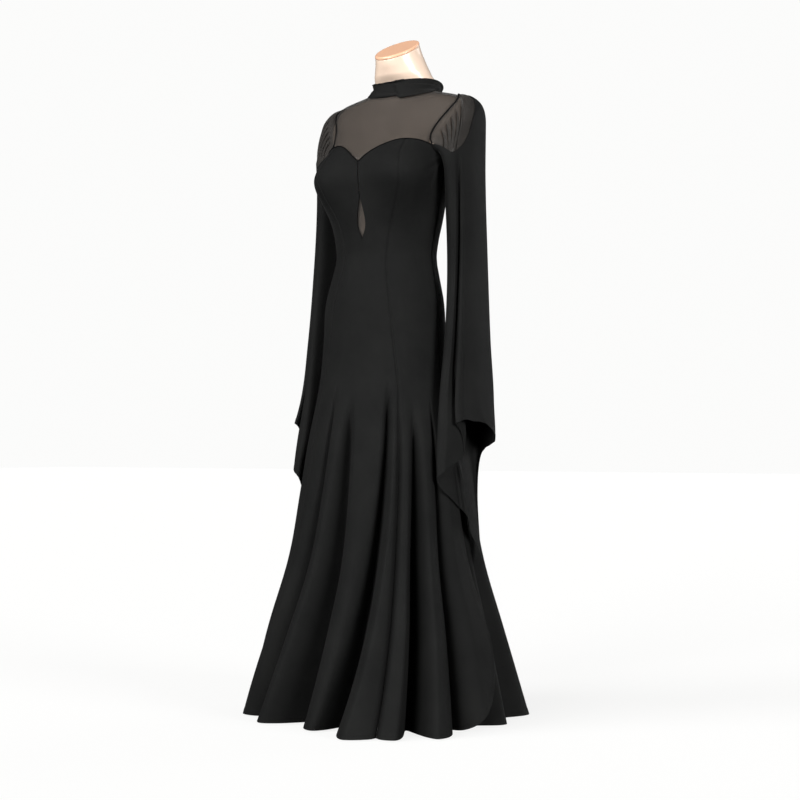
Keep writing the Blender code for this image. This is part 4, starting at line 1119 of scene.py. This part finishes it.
def sleeve_surface():
    """The opaque sleeve's grid from hem to armhole or half moon, rows close together at both ends. Its
    hem is turned up, which raises it by half a millimetre."""
    turn, along, out, under = sleeve_columns()
    seam = armhole_place(turn)[1]
    in_moon = (turn >= INSET_EDGE[0, 0]) & (turn <= INSET_EDGE[-1, 0])
    top = np.where(in_moon, smooth_table(INSET_EDGE, turn)[..., 0], seam)
    head = np.where(in_moon, top - 0.030, seam - smooth_table(HEAD_DROP, turn)[..., 0])
    hem = smooth_table(SLEEVE_HEM, turn)[..., 0]
    low = np.concatenate([HEM_STEPS, np.linspace(0.02, BELOW_HEAD, 70)])[:, None] / BELOW_HEAD
    high = np.linspace(0, 1, 33)[1:, None] ** 0.8
    z = np.concatenate([hem + low * (head - hem), head + high * (top - head)])
    rise = 0.5 * (1 - smoothstep((z - hem - 0.010) / EDGE_SOFT))
    pleat = smooth_table(FRONT_FOLD, (turn - PLEAT_TURN) / PLEAT_WIDTH + 0.5) * PLEAT_SCALE
    low_down = smoothstep((PLEAT_TOP_Z - z) / PLEAT_FADE)
    along = along + under * smoothstep((0.78 - z) / 0.14) + pleat[:, 0] * low_down
    return sleeve_place(turn[None, :], z, along, out + rise + pleat[:, 1] * low_down)


sleeve_points = sleeve_surface()
print("sleeve", sleeve_points.shape)

# %% [markdown]
# The half moon is gathered where it meets the armhole. Each gather is the front fold's own curve, made
# narrow, and it hangs plumb, which is a slant across the turned grid.

# %% Sleeves and their half moons
INSET_IN = 0.0030  # how far the mesh lies inside the crepe that laps over it
GATHERS = np.array((62.0, 75.0, 88.0, 101.0, 114.0))  # their turns
GATHER_WIDTH, GATHER_SCALE = 9.0, 0.62
GATHER_LEAN = 22.0  # degrees round the tube from the foot of a gather to its top
SLEEVE_X = 0.178  # the middle of the sleeve, to tell its outside from its inside


def moon_surface():
    """The half moon of mesh: from just below the crepe's edge up to the armhole, with the gathers added
    along and across the smooth surface."""
    turn = np.arange(INSET_EDGE[0, 0], INSET_EDGE[-1, 0] + 0.1, 0.5)
    seam, top = armhole_place(turn)[1], smooth_table(INSET_EDGE, turn)[..., 0]
    low = top - LAP
    z = low + np.linspace(0, 1, 40)[:, None] * (seam - low)
    beyond = np.clip((z - top) / np.maximum(seam - top, 1e-4), 0, 1)
    points = sleeve_place(turn[None, :], z)
    across = unit(np.gradient(points, axis=1))
    normal = unit(np.cross(across, np.gradient(points, axis=0)))
    share = (turn[None, :, None] - GATHERS - GATHER_LEAN * beyond[..., None]) / GATHER_WIDTH + 0.5
    moved = smooth_table(FRONT_FOLD, share)[..., :2].sum(axis=2)
    fade = (smoothstep(beyond / 0.25) * 0.6 + 0.4) * smoothstep((1 - beyond) / 0.25) * GATHER_SCALE / 1000
    depth = INSET_IN * (1 - smoothstep((beyond - 0.3) / 0.7))
    along, out = moved[..., 0] * fade, moved[..., 1] * fade
    return points + across * along[..., None] + normal * (out - depth)[..., None]


moon_points = moon_surface()
for side, mirror in MIRRORS.items():
    sleeve, x = f"sleeve_cloth_{side}", SLEEVE_X * mirror[0]
    lay_cloth(sleeve, sleeve_points * mirror, CREPE, f"sleeve_{side}", closed=True, axis_x=x)
    lay_cloth(f"half_moon_{side}", moon_points * mirror, MESH, f"sleeve_inset_{side}", axis_x=x)
